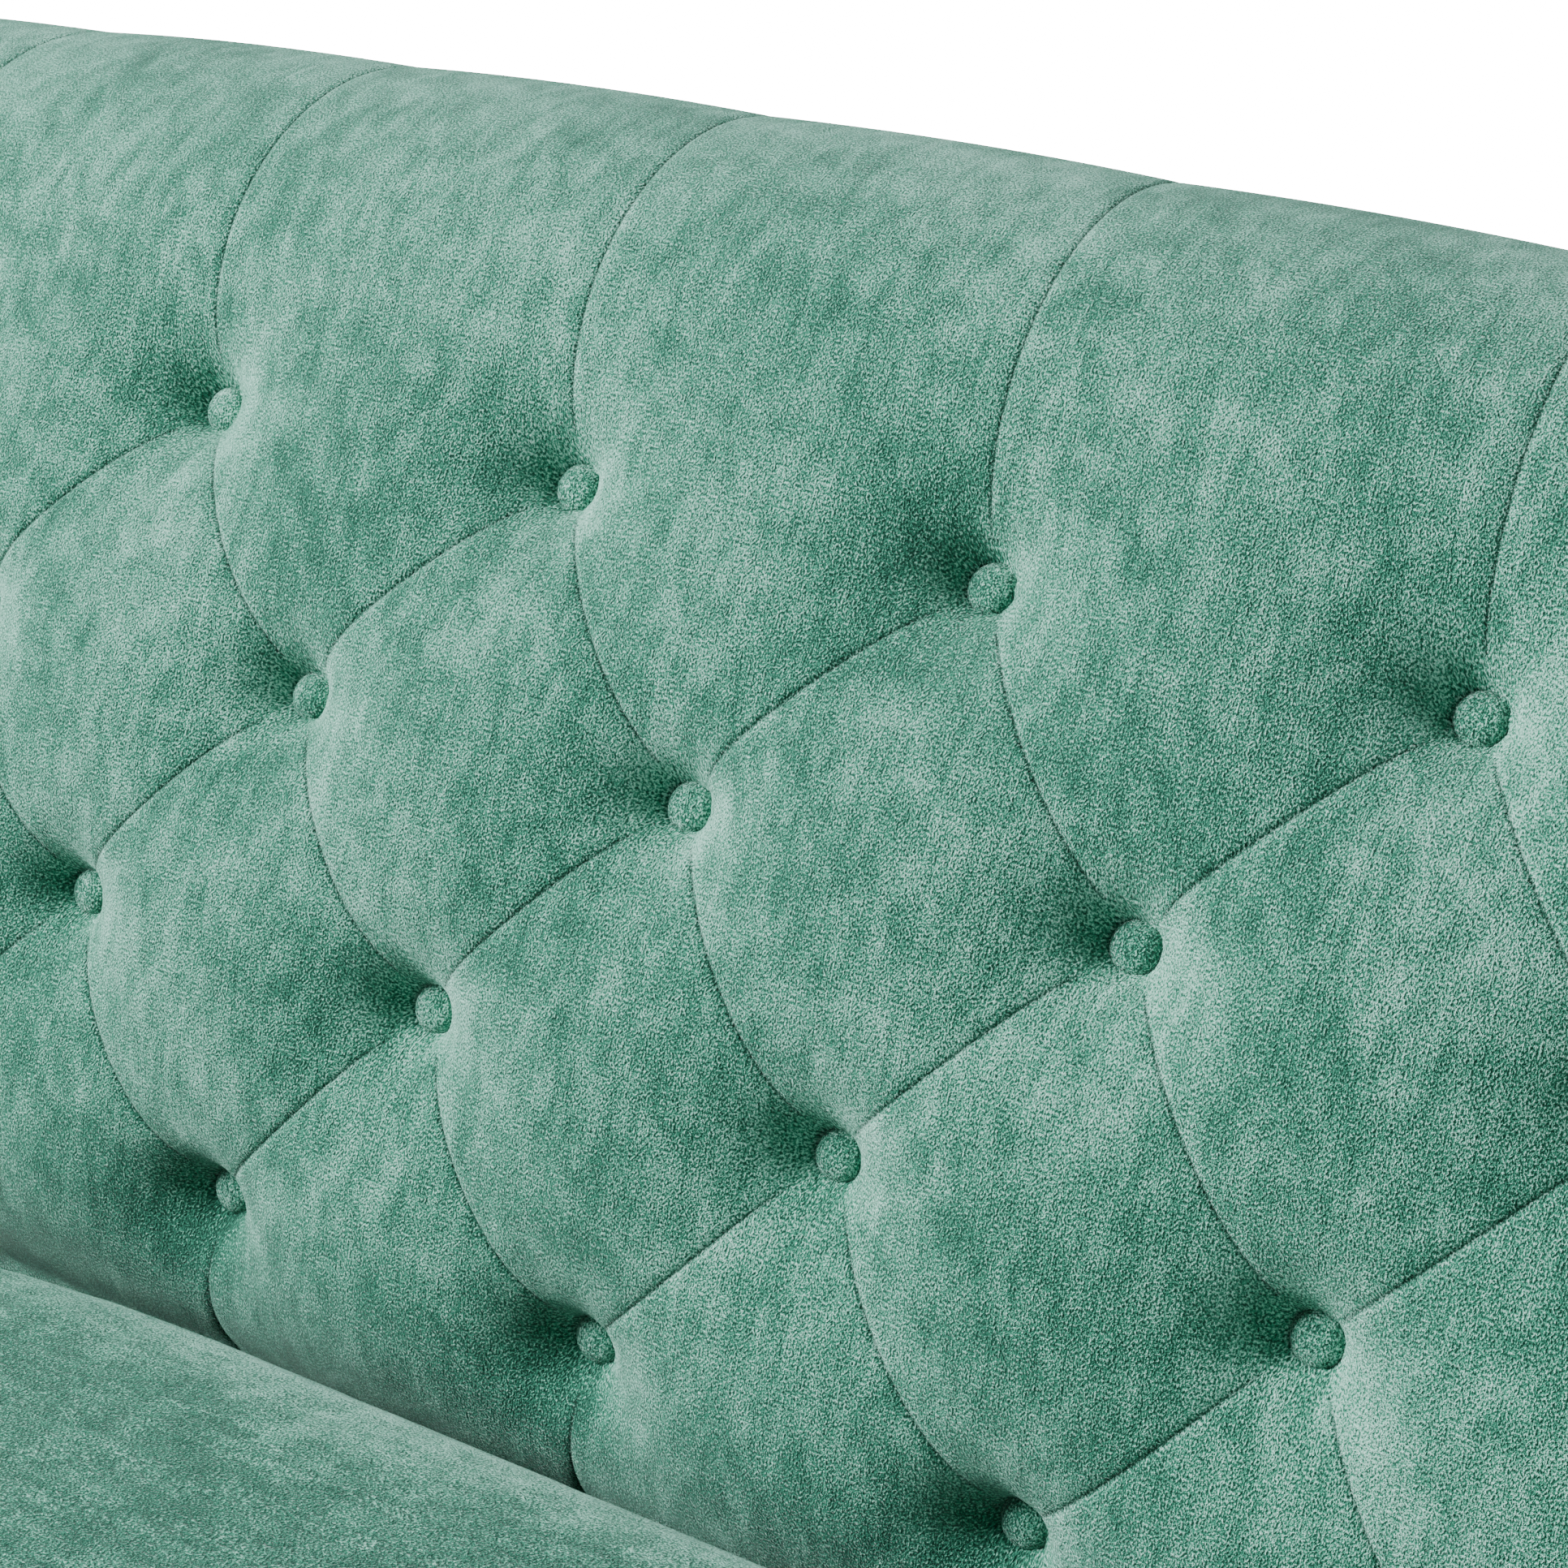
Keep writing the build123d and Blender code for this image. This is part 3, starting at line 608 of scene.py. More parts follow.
def cushion_blank(name):
    """The right seat cushion before it is filled: crowned, with round edges, a little under its size."""
    (x0, x1), (y0, y1) = BLANK_X, BLANK_Y
    w, d, h = (x1 - x0) / 2, (y1 - y0) / 2, 0.5 * (SEAT - BLANK_LIFT - DECK)
    bpy.ops.object.select_all(action="DESELECT")
    bpy.ops.mesh.primitive_cube_add(size=2)
    piece = bpy.context.object
    piece.name = name
    bpy.ops.object.mode_set(mode="EDIT")
    bpy.ops.mesh.subdivide(number_cuts=BLANK_CUTS)
    bpy.ops.object.mode_set(mode="OBJECT")
    p = point_rows(piece.data)
    size = np.array([w, d, h])
    q = np.sign(p) * (1 - (1 - np.abs(p)) ** BLANK_CROWDING) * size
    core = np.clip(q, BLANK_ROUND - size, size - BLANK_ROUND)
    away = (q - core) / BLANK_ROUND
    length = np.maximum(np.linalg.norm(away, axis=1, keepdims=True), 1e-9)
    reach = np.abs(away).max(axis=1, keepdims=True)
    q = core + away * BLANK_ROUND * reach / length
    across, along = q[:, 0] / w, q[:, 1] / d
    mid_across, mid_along = np.clip(1 - across ** 2, 0, 1), np.clip(1 - along ** 2, 0, 1)
    crown = mid_across ** 0.8 * mid_along ** 0.8
    q[:, 2] += np.where(q[:, 2] > 0, q[:, 2] / h * (BLANK_CROWN * crown - BLANK_DIP), 0)
    level = np.clip(1 - (q[:, 2] / h) ** 2, 0, 1)
    q[:, 0] -= np.sign(across) * BLANK_WAIST[0] * np.abs(across) ** 6 * mid_along * level
    q[:, 1] -= np.sign(along) * BLANK_WAIST[1] * np.abs(along) ** 6 * mid_across * level
    corner = np.clip((np.abs(across) + np.abs(along) - CORNER_START) / CORNER_RUN, 0, 1) ** 2
    q[:, 0] -= np.sign(across) * CORNER_CUT[0] * corner
    q[:, 1] -= np.sign(along) * CORNER_CUT[1] * corner
    q[:, 2] -= np.clip(q[:, 2] / h, -0.3, 1) * CORNER_CUT[2] * corner
    q += np.array([(x0 + x1) / 2, (y0 + y1) / 2, DECK + h + BLANK_LIFT])
    piece.data.vertices.foreach_set("co", q.ravel())
    return piece


def fill(piece):
    """Fills a cushion's cover: cloth under pressure from inside, each point held to a longest move."""
    pick(piece)
    skin = piece.modifiers.new("skin", "REMESH")
    skin.mode = "VOXEL"
    skin.voxel_size = FILL_VOXEL
    bpy.ops.object.modifier_apply(modifier="skin")
    start = point_rows(piece.data)
    cover = piece.modifiers.new("cover", "CLOTH")
    cover.settings.quality = 4
    cover.settings.mass = 0.25
    cover.settings.tension_stiffness = 12
    cover.settings.compression_stiffness = 12
    cover.settings.shear_stiffness = 5
    cover.settings.bending_stiffness = 0.6
    cover.settings.use_pressure = True
    cover.settings.uniform_pressure_force = FILL_PRESSURE
    cover.settings.effector_weights.gravity = 0
    cover.collision_settings.use_collision = False
    cover.point_cache.frame_start, cover.point_cache.frame_end = 1, FILL_FRAMES
    for step in range(1, FILL_FRAMES + 1):
        bpy.context.scene.frame_set(step)
    end = point_rows(piece.evaluated_get(bpy.context.evaluated_depsgraph_get()).data)
    piece.modifiers.remove(cover)
    bpy.context.scene.frame_set(1)
    move = end - start
    far = np.maximum(np.linalg.norm(move, axis=1, keepdims=True), 1e-9)
    return start + move * np.minimum(1, FILL_MOVE / far)


def seat_cushions():
    """Both loose seat cushions: one is filled, and the other is its mirror image with a mesh of its own."""
    right = cushion_blank("right_cushion")
    place = np.clip(fill(right), *CUSHION_ROOM)
    mesh = right.data
    mesh.vertices.foreach_set("co", place.ravel())
    mesh.update()
    mesh.shade_smooth()
    # Painted light by the cover's tilt: the upright sides are lifted out of the seat finish's painted shade,
    # and a band round the edges gets a painted highlight
    tilt = np.arccos(np.clip(point_rows(mesh, "normal")[:, 2], -1, 1))
    upright = UPRIGHT_TONE * smooth((tilt - UPRIGHT_TILT) / UPRIGHT_FADE)
    edge = EDGE_HIGHLIGHT * np.exp(-((tilt - EDGE_TILT) / EDGE_SPREAD) ** 2)
    point_values(mesh, "painted_light", np.maximum(upright, edge))
    left = moved_copy(right, Matrix.Diagonal((-1, 1, 1, 1)))
    left.name = "left_cushion"
    left.data.flip_normals()
    left.data.update()
    return left, right


# The arms and the flat covers

def arm_arch(radius, angles, way=1):
    """Points round an arm's top, seen from the front; way 1 starts outside and -1 starts inside."""
    return [(ARM_MIDDLE + way * radius * cos(a), ARM_ROUND + radius * sin(a)) for a in angles]


def arm_cover(name, side, tree):
    """The padded cover of one arm: up the inside, over the round top and down to the outside panel."""
    outer = [(HALF_SEAT, z) for z in np.linspace(ARM_LOW, ARM_ROUND, 26)[:-1]]
    outer += arm_arch(ARM_ROLL, np.linspace(0, pi, 44), -1)
    inner = arm_arch(ARM_ROLL - ARM_PAD, np.linspace(pi, 0, 24), -1)
    inner += [(HALF_SEAT + ARM_PAD, z) for z in np.linspace(ARM_ROUND, ARM_LOW, 8)[1:]]
    loop = outer + inner
    ends = []
    for x, z in loop:
        hit = tree.ray_cast(Vector((side * x, -0.2, z)), Vector((0, 1, 0)))[0]
        ends.append((hit.y if hit else end_front(z)) - ARM_REAR_GAP)
    verts = []
    for t in np.linspace(0, 1, ARM_STATIONS):
        swell = ARM_SWELL * sin(pi * t) ** 0.7 - ARM_NOSE * max(0, 1 - t / ARM_NOSE_RUN) ** 2
        for k, (x, z) in enumerate(loop):
            out = Vector((x - ARM_MIDDLE, 0, max(z - ARM_ROUND, 0)))
            if out.length > 0:
                out.normalize()
            grow = swell if k < len(outer) else 0
            if x < HALF_SEAT + 1e-6:
                grow = min(grow, ARM_INSIDE_SWELL)
            y = BORDER_BACK + t * (ends[k] - BORDER_BACK)
            verts.append((side * (x + out.x * grow), y, z + out.z * grow))
    piece = object_from(name, verts, ring_faces(ARM_STATIONS, len(loop)))
    clean_mesh(piece, 40)
    return piece


def tube(name, points, radius, sides=12):
    """A round welt along points that lie in one upright plane."""
    pts = [Vector(p) for p in points]
    verts = []
    for k, p in enumerate(pts):
        ahead = pts[min(k + 1, len(pts) - 1)] - pts[max(k - 1, 0)]
        ahead.normalize()
        side = ahead.cross(Vector((0, 1, 0))).normalized()
        up = side.cross(ahead)
        for j in range(sides):
            t = 2 * pi * j / sides
            verts.append(p + (side * cos(t) + up * sin(t)) * radius)
    piece = object_from(name, verts, ring_faces(len(pts), sides))
    clean_mesh(piece, 50)
    return piece


def arm_piping(name, side):
    """The welt round the front of an arm."""
    r = ARM_ROLL - WELT_INSET
    left, right = ARM_MIDDLE - r, ARM_MIDDLE + r
    path = line((right, WELT_BOTTOM), (right, ARM_ROUND), 0.01)
    path += arm_arch(r, np.linspace(0, pi, 60))
    path += line((left, ARM_ROUND), (left, WELT_BOTTOM), 0.01)[1:]
    path.append((left, WELT_BOTTOM))
    y = BORDER_BACK - FACING - WELT_OUT
    return tube(name, [(side * a, y, b) for a, b in path], WELT_R)


def panel(name, outline, spine, place, thick, soft_edge, crown):
    """An upholstered panel: a flat back, a soft rounded edge and a slightly crowned face.

    outline is a closed ring of flat points, spine the segment that the face is drawn towards, and place
    puts a flat point and a height into the room."""
    a, b = (np.array(p, float) for p in spine)
    along = b - a
    ring = np.array(outline, float)
    share = np.clip(((ring - a) @ along) / (along @ along), 0, 1)
    inward = a + share[:, None] * along - ring
    reach = np.linalg.norm(inward, axis=1)
    levels = []
    for t in np.linspace(0, pi / 2, 5):
        levels.append((soft_edge * (1 - cos(t)) / reach, soft_edge * (1 - sin(t))))
    for q in PANEL_RINGS:
        levels.append(((soft_edge + q * (reach - soft_edge)) / reach, 0.0))
    verts = [place(p[0], p[1], 0.0) for p in ring]
    for t, lift in levels:
        flat = ring + inward * t[:, None]
        height = thick - lift + crown * (1 - (1 - t) ** 2)
        verts += [place(p[0], p[1], h) for p, h in zip(flat, height)]
    faces = ring_faces(len(levels) + 1, len(ring))
    faces[-2] = faces[-2][::-1]
    piece = object_from(name, verts, faces)
    clean_mesh(piece, 50, weld=2e-5, drop_slivers=True)
    return piece


def arm_facing(name, side):
    """The panel on the front of an arm."""
    r = ARM_ROLL - FRONT_GAP
    left, right = ARM_MIDDLE - r, ARM_MIDDLE + r
    ring = line((left, COVER_BOTTOM), (right, COVER_BOTTOM))
    ring += line((right, COVER_BOTTOM), (right, ARM_ROUND))
    ring += arm_arch(r, np.linspace(0, pi, 40))[:-1]
    ring += line((left, ARM_ROUND), (left, COVER_BOTTOM))
    return panel(
        name, ring, ((ARM_MIDDLE, RAIL_BOTTOM + ARM_ROLL), (ARM_MIDDLE, ARM_ROUND)),
        lambda a, b, h: (side * a, BORDER_BACK - h, b), *ARM_PANEL)


def arm_outside(name, side):
    """The panel on the outside of an arm, from the front to the end of the back."""
    front, top = BORDER_BACK + FRONT_GAP, ARM_ROUND - SEAM_GAP
    rear = [(end_front(z) - SIDE_GAP, z) for z in np.linspace(COVER_BOTTOM, top, 24)]
    ring = line((front, COVER_BOTTOM), rear[0]) + rear[:-1]
    ring += line(rear[-1], (front, top)) + line((front, top), (front, COVER_BOTTOM))
    return panel(
        name, ring, ((-0.25, 0.345), (-0.10, 0.345)),
        lambda a, b, h: (side * (HALF_WIDTH - COVER + h), a, b), *THIN_PANEL)


def back_end(name, side):
    """The panel on one end of the back: up its face, over the roll and down its rear."""
    y, z = back_face(np.linspace(COVER_BOTTOM - ARC_Z, REAR_RUN, 90), 0.0)
    front = [(a, b - END_DROP) for a, b in zip(y, z)]
    front = [(a, b) for a, b in front if b > COVER_BOTTOM + 0.004]
    first = (float(back_face(COVER_BOTTOM - ARC_Z + END_DROP, 0.0)[0]), COVER_BOTTOM)
    last = (HALF_DEPTH, COVER_BOTTOM)
    ring = [first] + front[:-1] + line(front[-1], last) + line(last, first)
    return panel(
        name, ring, ((0.30, 0.30), (ROLL_Y - 0.01, ROLL_Z - 0.06)),
        lambda a, b, h: (side * (END + h), a, b), *THIN_PANEL)


def outside_back():
    """The panel across the rear, with its top edge crowned as the roll is."""
    edge = END - REAR_GAP
    top = [(x, ROLL_Z - SEAM_GAP - float(crown_drop(x))) for x in np.linspace(edge, -edge, 80)]
    ring = line((-edge, COVER_BOTTOM), (edge, COVER_BOTTOM)) + line((edge, COVER_BOTTOM), top[0])
    ring += top[:-1] + line(top[-1], (-edge, COVER_BOTTOM))
    return panel(
        "outside_back_cover", ring, ((-0.70, 0.43), (0.70, 0.43)),
        lambda a, b, h: (a, HALF_DEPTH - COVER + h, b), *THIN_PANEL)


def front_border():
    """The strip of cover across the front, under the cushions."""
    side, top = HALF_SEAT - SEAM_GAP, DECK - 0.001
    reach, middle = side - 0.08, (COVER_BOTTOM + top) / 2
    return panel(
        "front_border_cover", box_outline(-side, side, COVER_BOTTOM, top),
        ((-reach, middle), (reach, middle)),
        lambda a, b, h: (a, BORDER_BACK - h, b), *BORDER_PANEL)


def deck_cover():
    """The pad on the springs that the cushions lie on."""
    side, front = HALF_SEAT - 0.002, BORDER_BACK + 0.001
    reach, middle = side - 0.25, (front + DECK_REAR) / 2
    return panel(
        "deck_cover", box_outline(-side, side, front, DECK_REAR), ((-reach, middle), (reach, middle)),
        lambda a, b, h: (a, b, DECK_UNDER + h), *DECK_PANEL)


# The underside

def dust_sheet():
    """Thin cloth stapled under the rails, cut out round each leg plate, sagging a little between them."""
    side, front, rear = CLOTH_EDGE
    legs = [(a, b) for a in LEG_X for b in LEG_Y]

    def marks(ends, holes):
        stops = sorted({*ends, *(h - LEG_HOLE for h in holes), *(h + LEG_HOLE for h in holes)})
        out = []
        for a, b in zip(stops, stops[1:]):
            count = max(2, round((b - a) / CLOTH_STEP))
            out += [a + (b - a) * k / count for k in range(count)]
        return out + [stops[-1]]

    xs, ys = marks((-side, side), LEG_X), marks((front, rear), LEG_Y)
    verts = []
    for y in ys:
        for x in xs:
            bay = abs(sin(pi * x / side)) ** 0.8 * sin(pi * (y - front) / (rear - front)) ** 0.7
            near = min(
                hypot(max(abs(x - a) - LEG_HOLE, 0), max(abs(y - b) - LEG_HOLE, 0)) for a, b in legs)
            ripple = CLOTH_RIPPLE * sin(90 * x + 14 * y) * sin(31 * y)
            sag = (CLOTH_SAG * bay + ripple * bay) * smooth(near / CLOTH_TAUT)
            verts.append((x, y, CLOTH_LEVEL - sag))
    wide = len(xs)
    faces = []
    for j, (y0, y1) in enumerate(zip(ys, ys[1:])):
        for i, (x0, x1) in enumerate(zip(xs, xs[1:])):
            x, y = (x0 + x1) / 2, (y0 + y1) / 2
            if any(abs(x - a) < LEG_HOLE and abs(y - b) < LEG_HOLE for a, b in legs):
                continue
            at = j * wide + i
            faces.append((at, at + wide, at + wide + 1, at + 1))
    sheet = object_from("dust_sheet", verts, faces)
    pick(sheet)
    bpy.ops.object.mode_set(mode="EDIT")
    bpy.ops.mesh.select_all(action="SELECT")
    bpy.ops.mesh.delete_loose(use_verts=True, use_edges=True, use_faces=False)
    bpy.ops.object.mode_set(mode="OBJECT")
    body = sheet.modifiers.new("body", "SOLIDIFY")
    body.thickness = CLOTH_THICK
    body.offset = 0
    bpy.ops.object.modifier_apply(modifier="body")
    bpy.ops.object.shade_smooth_by_angle(angle=radians(40))
    return sheet


def sinuous_springs():
    """The wire springs under the seat: one is bent to and fro from a point, made round, and copied across."""
    first, last = SPRING_ENDS
    bpy.ops.object.select_all(action="DESELECT")
    bpy.ops.mesh.primitive_plane_add(size=SPRING_WIRE)
    bpy.ops.object.mode_set(mode="EDIT")
    bpy.ops.mesh.merge(type="CENTER")
    step = (last - first) / SPRING_RUNS
    for run in range(SPRING_RUNS + 1):
        across = 2 * SPRING_HALF if run % 2 == 0 else -2 * SPRING_HALF
        bpy.ops.mesh.extrude_vertices_move(TRANSFORM_OT_translate={"value": (across, 0, 0)})
        if run < SPRING_RUNS:
            bpy.ops.mesh.extrude_vertices_move(TRANSFORM_OT_translate={"value": (0, step, 0)})
    bpy.ops.mesh.select_all(action="SELECT")
    bpy.ops.transform.translate(value=(-SPRING_HALF, first, SPRING_LEVEL))
    bpy.ops.object.mode_set(mode="OBJECT")
    path = bpy.context.object.data
    joined = [k for edge in path.edges for k in edge.vertices]
    for edge in path.edges:
        edge.select = False
    for k, corner in enumerate(path.vertices):
        corner.select = joined.count(k) == 2
    bpy.ops.object.mode_set(mode="EDIT")
    bpy.ops.mesh.select_mode(type="VERT")
    bpy.ops.mesh.bevel(offset_type="OFFSET", offset=SPRING_BEND, segments=5, affect="VERTICES", profile=0.5)
    bpy.ops.object.mode_set(mode="OBJECT")
    bpy.ops.object.convert(target="CURVE")
    wire = bpy.context.object.data
    wire.bevel_depth = SPRING_WIRE / 2
    wire.bevel_resolution = 2
    wire.use_fill_caps = True
    bpy.ops.object.convert(target="MESH")
    springs = bpy.context.object
    springs.name = "sinuous_springs"
    bpy.ops.object.mode_set(mode="EDIT")
    bpy.ops.mesh.select_all(action="SELECT")
    bpy.ops.mesh.remove_doubles(threshold=1e-6)
    bpy.ops.mesh.normals_make_consistent(inside=False)
    bpy.ops.object.mode_set(mode="OBJECT")
    bpy.ops.object.shade_smooth_by_angle(angle=radians(50))
    shifts = [SPRING_SPACING * (k - SPRING_COUNT // 2) for k in range(SPRING_COUNT)]
    places = [Matrix.Translation((shift, 0, 0)) for shift in shifts]
    copies = [moved_copy(springs, place) for place in places[1:]]
    springs.data.transform(places[0])
    return join([springs] + copies)


# Finishes

def linear(r, g, b):
    """A colour written in display values, as the shader wants it."""
    parts = [c / 255 for c in (r, g, b)]
    return tuple(c / 12.92 if c <= 0.04 else ((c + 0.055) / 1.055) ** 2.4 for c in parts) + (1.0,)


def set_inputs(node, values):
    """Sets a node's sockets by their names."""
    for name, value in values.items():
        node.inputs[name].default_value = value


def blank_finish(name):
    """A new material, with its nodes, links and shader."""
    material = bpy.data.materials.new(name)
    material.use_nodes = True
    nodes = material.node_tree.nodes
    return material, nodes, material.node_tree.links, nodes["Principled BSDF"]


def velvet_group():
    """Short-pile velvet: patches of lighter and darker pile, streaks along the pile and a fine sparkle, plus
    painted light: one stored value adds painted highlights and painted shade, and the distance to a pleat
    adds painted shade along the pleats.
    """
    group = bpy.data.node_groups.new("velvet_pile", "ShaderNodeTree")
    group.interface.new_socket(name="Cloth", in_out="INPUT", socket_type="NodeSocketVector")
    for name, value in (("Seam", 1.0), ("Tone", 0.5), ("Painted_Light", 0.0)):
        made = group.interface.new_socket(name=name, in_out="INPUT", socket_type="NodeSocketFloat")
        made.default_value = value
    group.interface.new_socket(name="Colour", in_out="OUTPUT", socket_type="NodeSocketColor")
    group.interface.new_socket(name="Height", in_out="OUTPUT", socket_type="NodeSocketFloat")
    nodes, links = group.nodes, group.links
    start = nodes.new("NodeGroupInput")
    end = nodes.new("NodeGroupOutput")

    def noise(scale, detail, rough, stretch, distortion=0.0):
        turn = nodes.new("ShaderNodeMapping")
        turn.inputs["Scale"].default_value = stretch
        links.new(start.outputs["Cloth"], turn.inputs["Vector"])
        made = nodes.new("ShaderNodeTexNoise")
        set_inputs(made, {"Scale": scale, "Detail": detail, "Roughness": rough, "Distortion": distortion})
        links.new(turn.outputs["Vector"], made.inputs["Vector"])
        return made.outputs["Fac"]

    def maths(kind, a, b):
        made = nodes.new("ShaderNodeMath")
        made.operation = kind
        for k, value in enumerate((a, b)):
            if isinstance(value, (int, float)):
                made.inputs[k].default_value = value
            else:
                links.new(value, made.inputs[k])
        return made.outputs[0]

    def share(value, amount):
        return maths("MULTIPLY", maths("SUBTRACT", value, 0.5), amount)

    patches = noise(13.0, 3.0, 0.58, (1.0, 0.75, 1.0), 0.4)
    clouds = noise(95.0, 3.0, 0.55, (1.0, 0.6, 1.0), 0.3)
    streaks = noise(330.0, 1.0, 0.6, (1.0, 0.13, 1.0))
    grain = noise(1400.0, 1.0, 0.65, (1.0, 0.72, 1.0))
    # The stored painted highlights and painted shade move the tone
    tone = maths("ADD", start.outputs["Tone"], maths("MULTIPLY", start.outputs["Painted_Light"], PAINTED_LIGHT_SHARE))
    shares = (
        (patches, PATCH_SHARE), (clouds, CLOUD_SHARE), (streaks, STREAK_SHARE), (grain, GRAIN_SHARE))
    for value, amount in shares:
        tone = maths("ADD", tone, share(value, amount))
    ramp = nodes.new("ShaderNodeValToRGB")
    stops = ramp.color_ramp.elements
    stops[0].position, stops[0].color = 0.06, linear(27, 82, 66)
    stops[1].position, stops[1].color = 0.98, linear(174, 230, 213)
    middle = stops.new(0.50)
    middle.color = linear(57, 146, 119)
    links.new(tone, ramp.inputs["Fac"])
    # Painted shade along the pleats: the colour darkens to 0.40 within about a millimetre of a pleat line,
    # wobbled by the grain
    shade = nodes.new("ShaderNodeMapRange")
    set_inputs(shade, {"From Min": 0.0001, "From Max": 0.0013, "To Min": 0.40, "To Max": 1.0})
    links.new(maths("ADD", start.outputs["Seam"], share(grain, 0.0016)), shade.inputs["Value"])
    darken = nodes.new("ShaderNodeMix")
    darken.data_type = "RGBA"
    darken.blend_type = "MULTIPLY"
    darken.inputs["Factor"].default_value = 1.0
    links.new(ramp.outputs["Color"], darken.inputs["A"])
    links.new(shade.outputs["Result"], darken.inputs["B"])
    links.new(darken.outputs["Result"], end.inputs["Colour"])
    links.new(maths("ADD", grain, maths("MULTIPLY", streaks, 0.4)), end.inputs["Height"])
    return group


VELVET = velvet_group()


def velvet(name, source, turn=(0, 0, 0), reads=(), tone=0.5, sheen=0.45):
    """A velvet finish. source is the coordinate that its pile runs along: UV, or Object turned as given.

    reads names the point values that feed the pile's painted light and painted shade, each through the socket
    of the same name."""
    material, nodes, links, shader = blank_finish(name)
    pile = nodes.new("ShaderNodeGroup")
    pile.node_tree = VELVET
    pile.inputs["Tone"].default_value = tone
    if source == "UV":
        cloth = nodes.new("ShaderNodeUVMap")
        cloth.uv_map = "cloth"
        links.new(cloth.outputs["UV"], pile.inputs["Cloth"])
    else:
        place = nodes.new("ShaderNodeTexCoord")
        mapping = nodes.new("ShaderNodeMapping")
        mapping.inputs["Rotation"].default_value = turn
        links.new(place.outputs["Object"], mapping.inputs["Vector"])
        links.new(mapping.outputs["Vector"], pile.inputs["Cloth"])
    for value in reads:
        stored = nodes.new("ShaderNodeAttribute")
        stored.attribute_name = value
        links.new(stored.outputs["Fac"], pile.inputs[value.title()])
    bump = nodes.new("ShaderNodeBump")
    set_inputs(bump, {"Strength": 0.95, "Distance": 0.0023})
    links.new(pile.outputs["Height"], bump.inputs["Height"])
    links.new(pile.outputs["Colour"], shader.inputs["Base Color"])
    links.new(bump.outputs["Normal"], shader.inputs["Normal"])
    set_inputs(shader, {
        "Roughness": 0.80, "Specular IOR Level": 0.22, "Sheen Weight": sheen, "Sheen Roughness": 0.20,
        "Sheen Tint": (0.74, 1.0, 0.92, 1)})
    return material


def mottled(name, tones, ends, noise, relief, shine, mapping=None):
    """A finish that runs between two tones by a noise, which also makes its relief."""
    material, nodes, links, shader = blank_finish(name)
    place = nodes.new("ShaderNodeTexCoord").outputs["Object"]
    if mapping:
        turn = nodes.new("ShaderNodeMapping")
        set_inputs(turn, mapping)
        links.new(place, turn.inputs["Vector"])
        place = turn.outputs["Vector"]
    grain = nodes.new("ShaderNodeTexNoise")
    set_inputs(grain, noise)
    ramp = nodes.new("ShaderNodeValToRGB")
    for stop, end, tone in zip(ramp.color_ramp.elements, ends, tones):
        stop.position, stop.color = end, linear(*tone)
    bump = nodes.new("ShaderNodeBump")
    set_inputs(bump, {"Strength": relief, "Distance": 0.0004})
    links.new(place, grain.inputs["Vector"])
    links.new(grain.outputs["Fac"], ramp.inputs["Fac"])
    links.new(grain.outputs["Fac"], bump.inputs["Height"])
    links.new(ramp.outputs["Color"], shader.inputs["Base Color"])
    links.new(bump.outputs["Normal"], shader.inputs["Normal"])
    set_inputs(shader, shine)
    return material


def grained_wood(name, dark, light, rough, turn=(0, 0, 0)):
    """Wood with long grain, from dark to light."""
    return mottled(
        name, (dark, light), (0.36, 0.66), {"Scale": 1.6, "Detail": 6, "Distortion": 1.1}, 0.2,
        {"Roughness": rough}, {"Rotation": turn, "Scale": (60, 60, 5)})


def speckled(name, dark, light, scale, rough, metal=0.0):
    """A plain finish with a fine mottle: steel, moulded plastic or coarse cloth."""
    return mottled(
        name, (dark, light), (0.35, 0.68), {"Scale": scale, "Detail": 4}, 0.25,
        {"Roughness": rough, "Metallic": metal})


def give(piece, material):
    piece.data.materials.clear()
    piece.data.materials.append(material)


def dress_nodes():
    """Finishes for the pieces that keep their drawn shape, by slot."""
    finishes = {
        "leg_wood": grained_wood("walnut_leg", (48, 27, 15), (104, 64, 38), 0.38),
        "frame_wood": grained_wood("frame_timber", (158, 118, 74), (206, 168, 118), 0.6, (0, radians(90), 0)),
        "plywood": grained_wood("rib_plywood", (172, 134, 88), (214, 180, 132), 0.6),
        "spring_steel": speckled("spring_wire", (70, 70, 74), (120, 120, 124), 300, 0.42, 1.0),
        "zinc_steel": speckled("zinc_plate", (150, 152, 156), (196, 197, 200), 240, 0.35, 1.0),
        "glide_plastic": speckled("black_glide", (24, 24, 25), (44, 44, 46), 500, 0.55),
        "twine": speckled("waxed_twine", (176, 164, 136), (216, 206, 182), 700, 0.7),
        "dust_cloth": speckled("dust_cloth", (20, 20, 21), (46, 46, 48), 900, 0.95),
    }
    for row in frame["record"]["subparts"]:
        if row["material_slot"] in finishes:
            give(bpy.data.objects[row["node"]], finishes[row["material_slot"]])
    return finishes


# The sofa's pieces

def place_piece(piece, node, material, body="frame"):
    """Dresses a piece, puts it on a body and lets it stand for a node of the drawing."""
    give(piece, material)
    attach(piece, body)
    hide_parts(node)


def place_soft(piece, node, material, body="frame"):
    place_piece(piece, node, material, body)


back = tufted_back()
velvet_back = velvet("velvet_back", "UV", reads=("seam", "painted_light"))
velvet_upright = velvet("velvet_upright", "Object", (radians(-90), 0, 0))
# The seat finish is a darker copy of the same velvet: painted shade on the cushions' tops
shaded_velvet_seat = velvet("shaded_velvet_seat", "Object", (0, 0, radians(90)), ("painted_light",), tone=0.22, sheen=0.30)
velvet_side = velvet("velvet_side", "Object", (radians(-90), 0, radians(90)))
deck_cloth = speckled("deck_cloth", (92, 128, 116), (128, 160, 148), 420, 0.9)
tree = BVHTree.FromPolygons(
    [v.co for v in back.data.vertices], [p.vertices[:] for p in back.data.polygons])

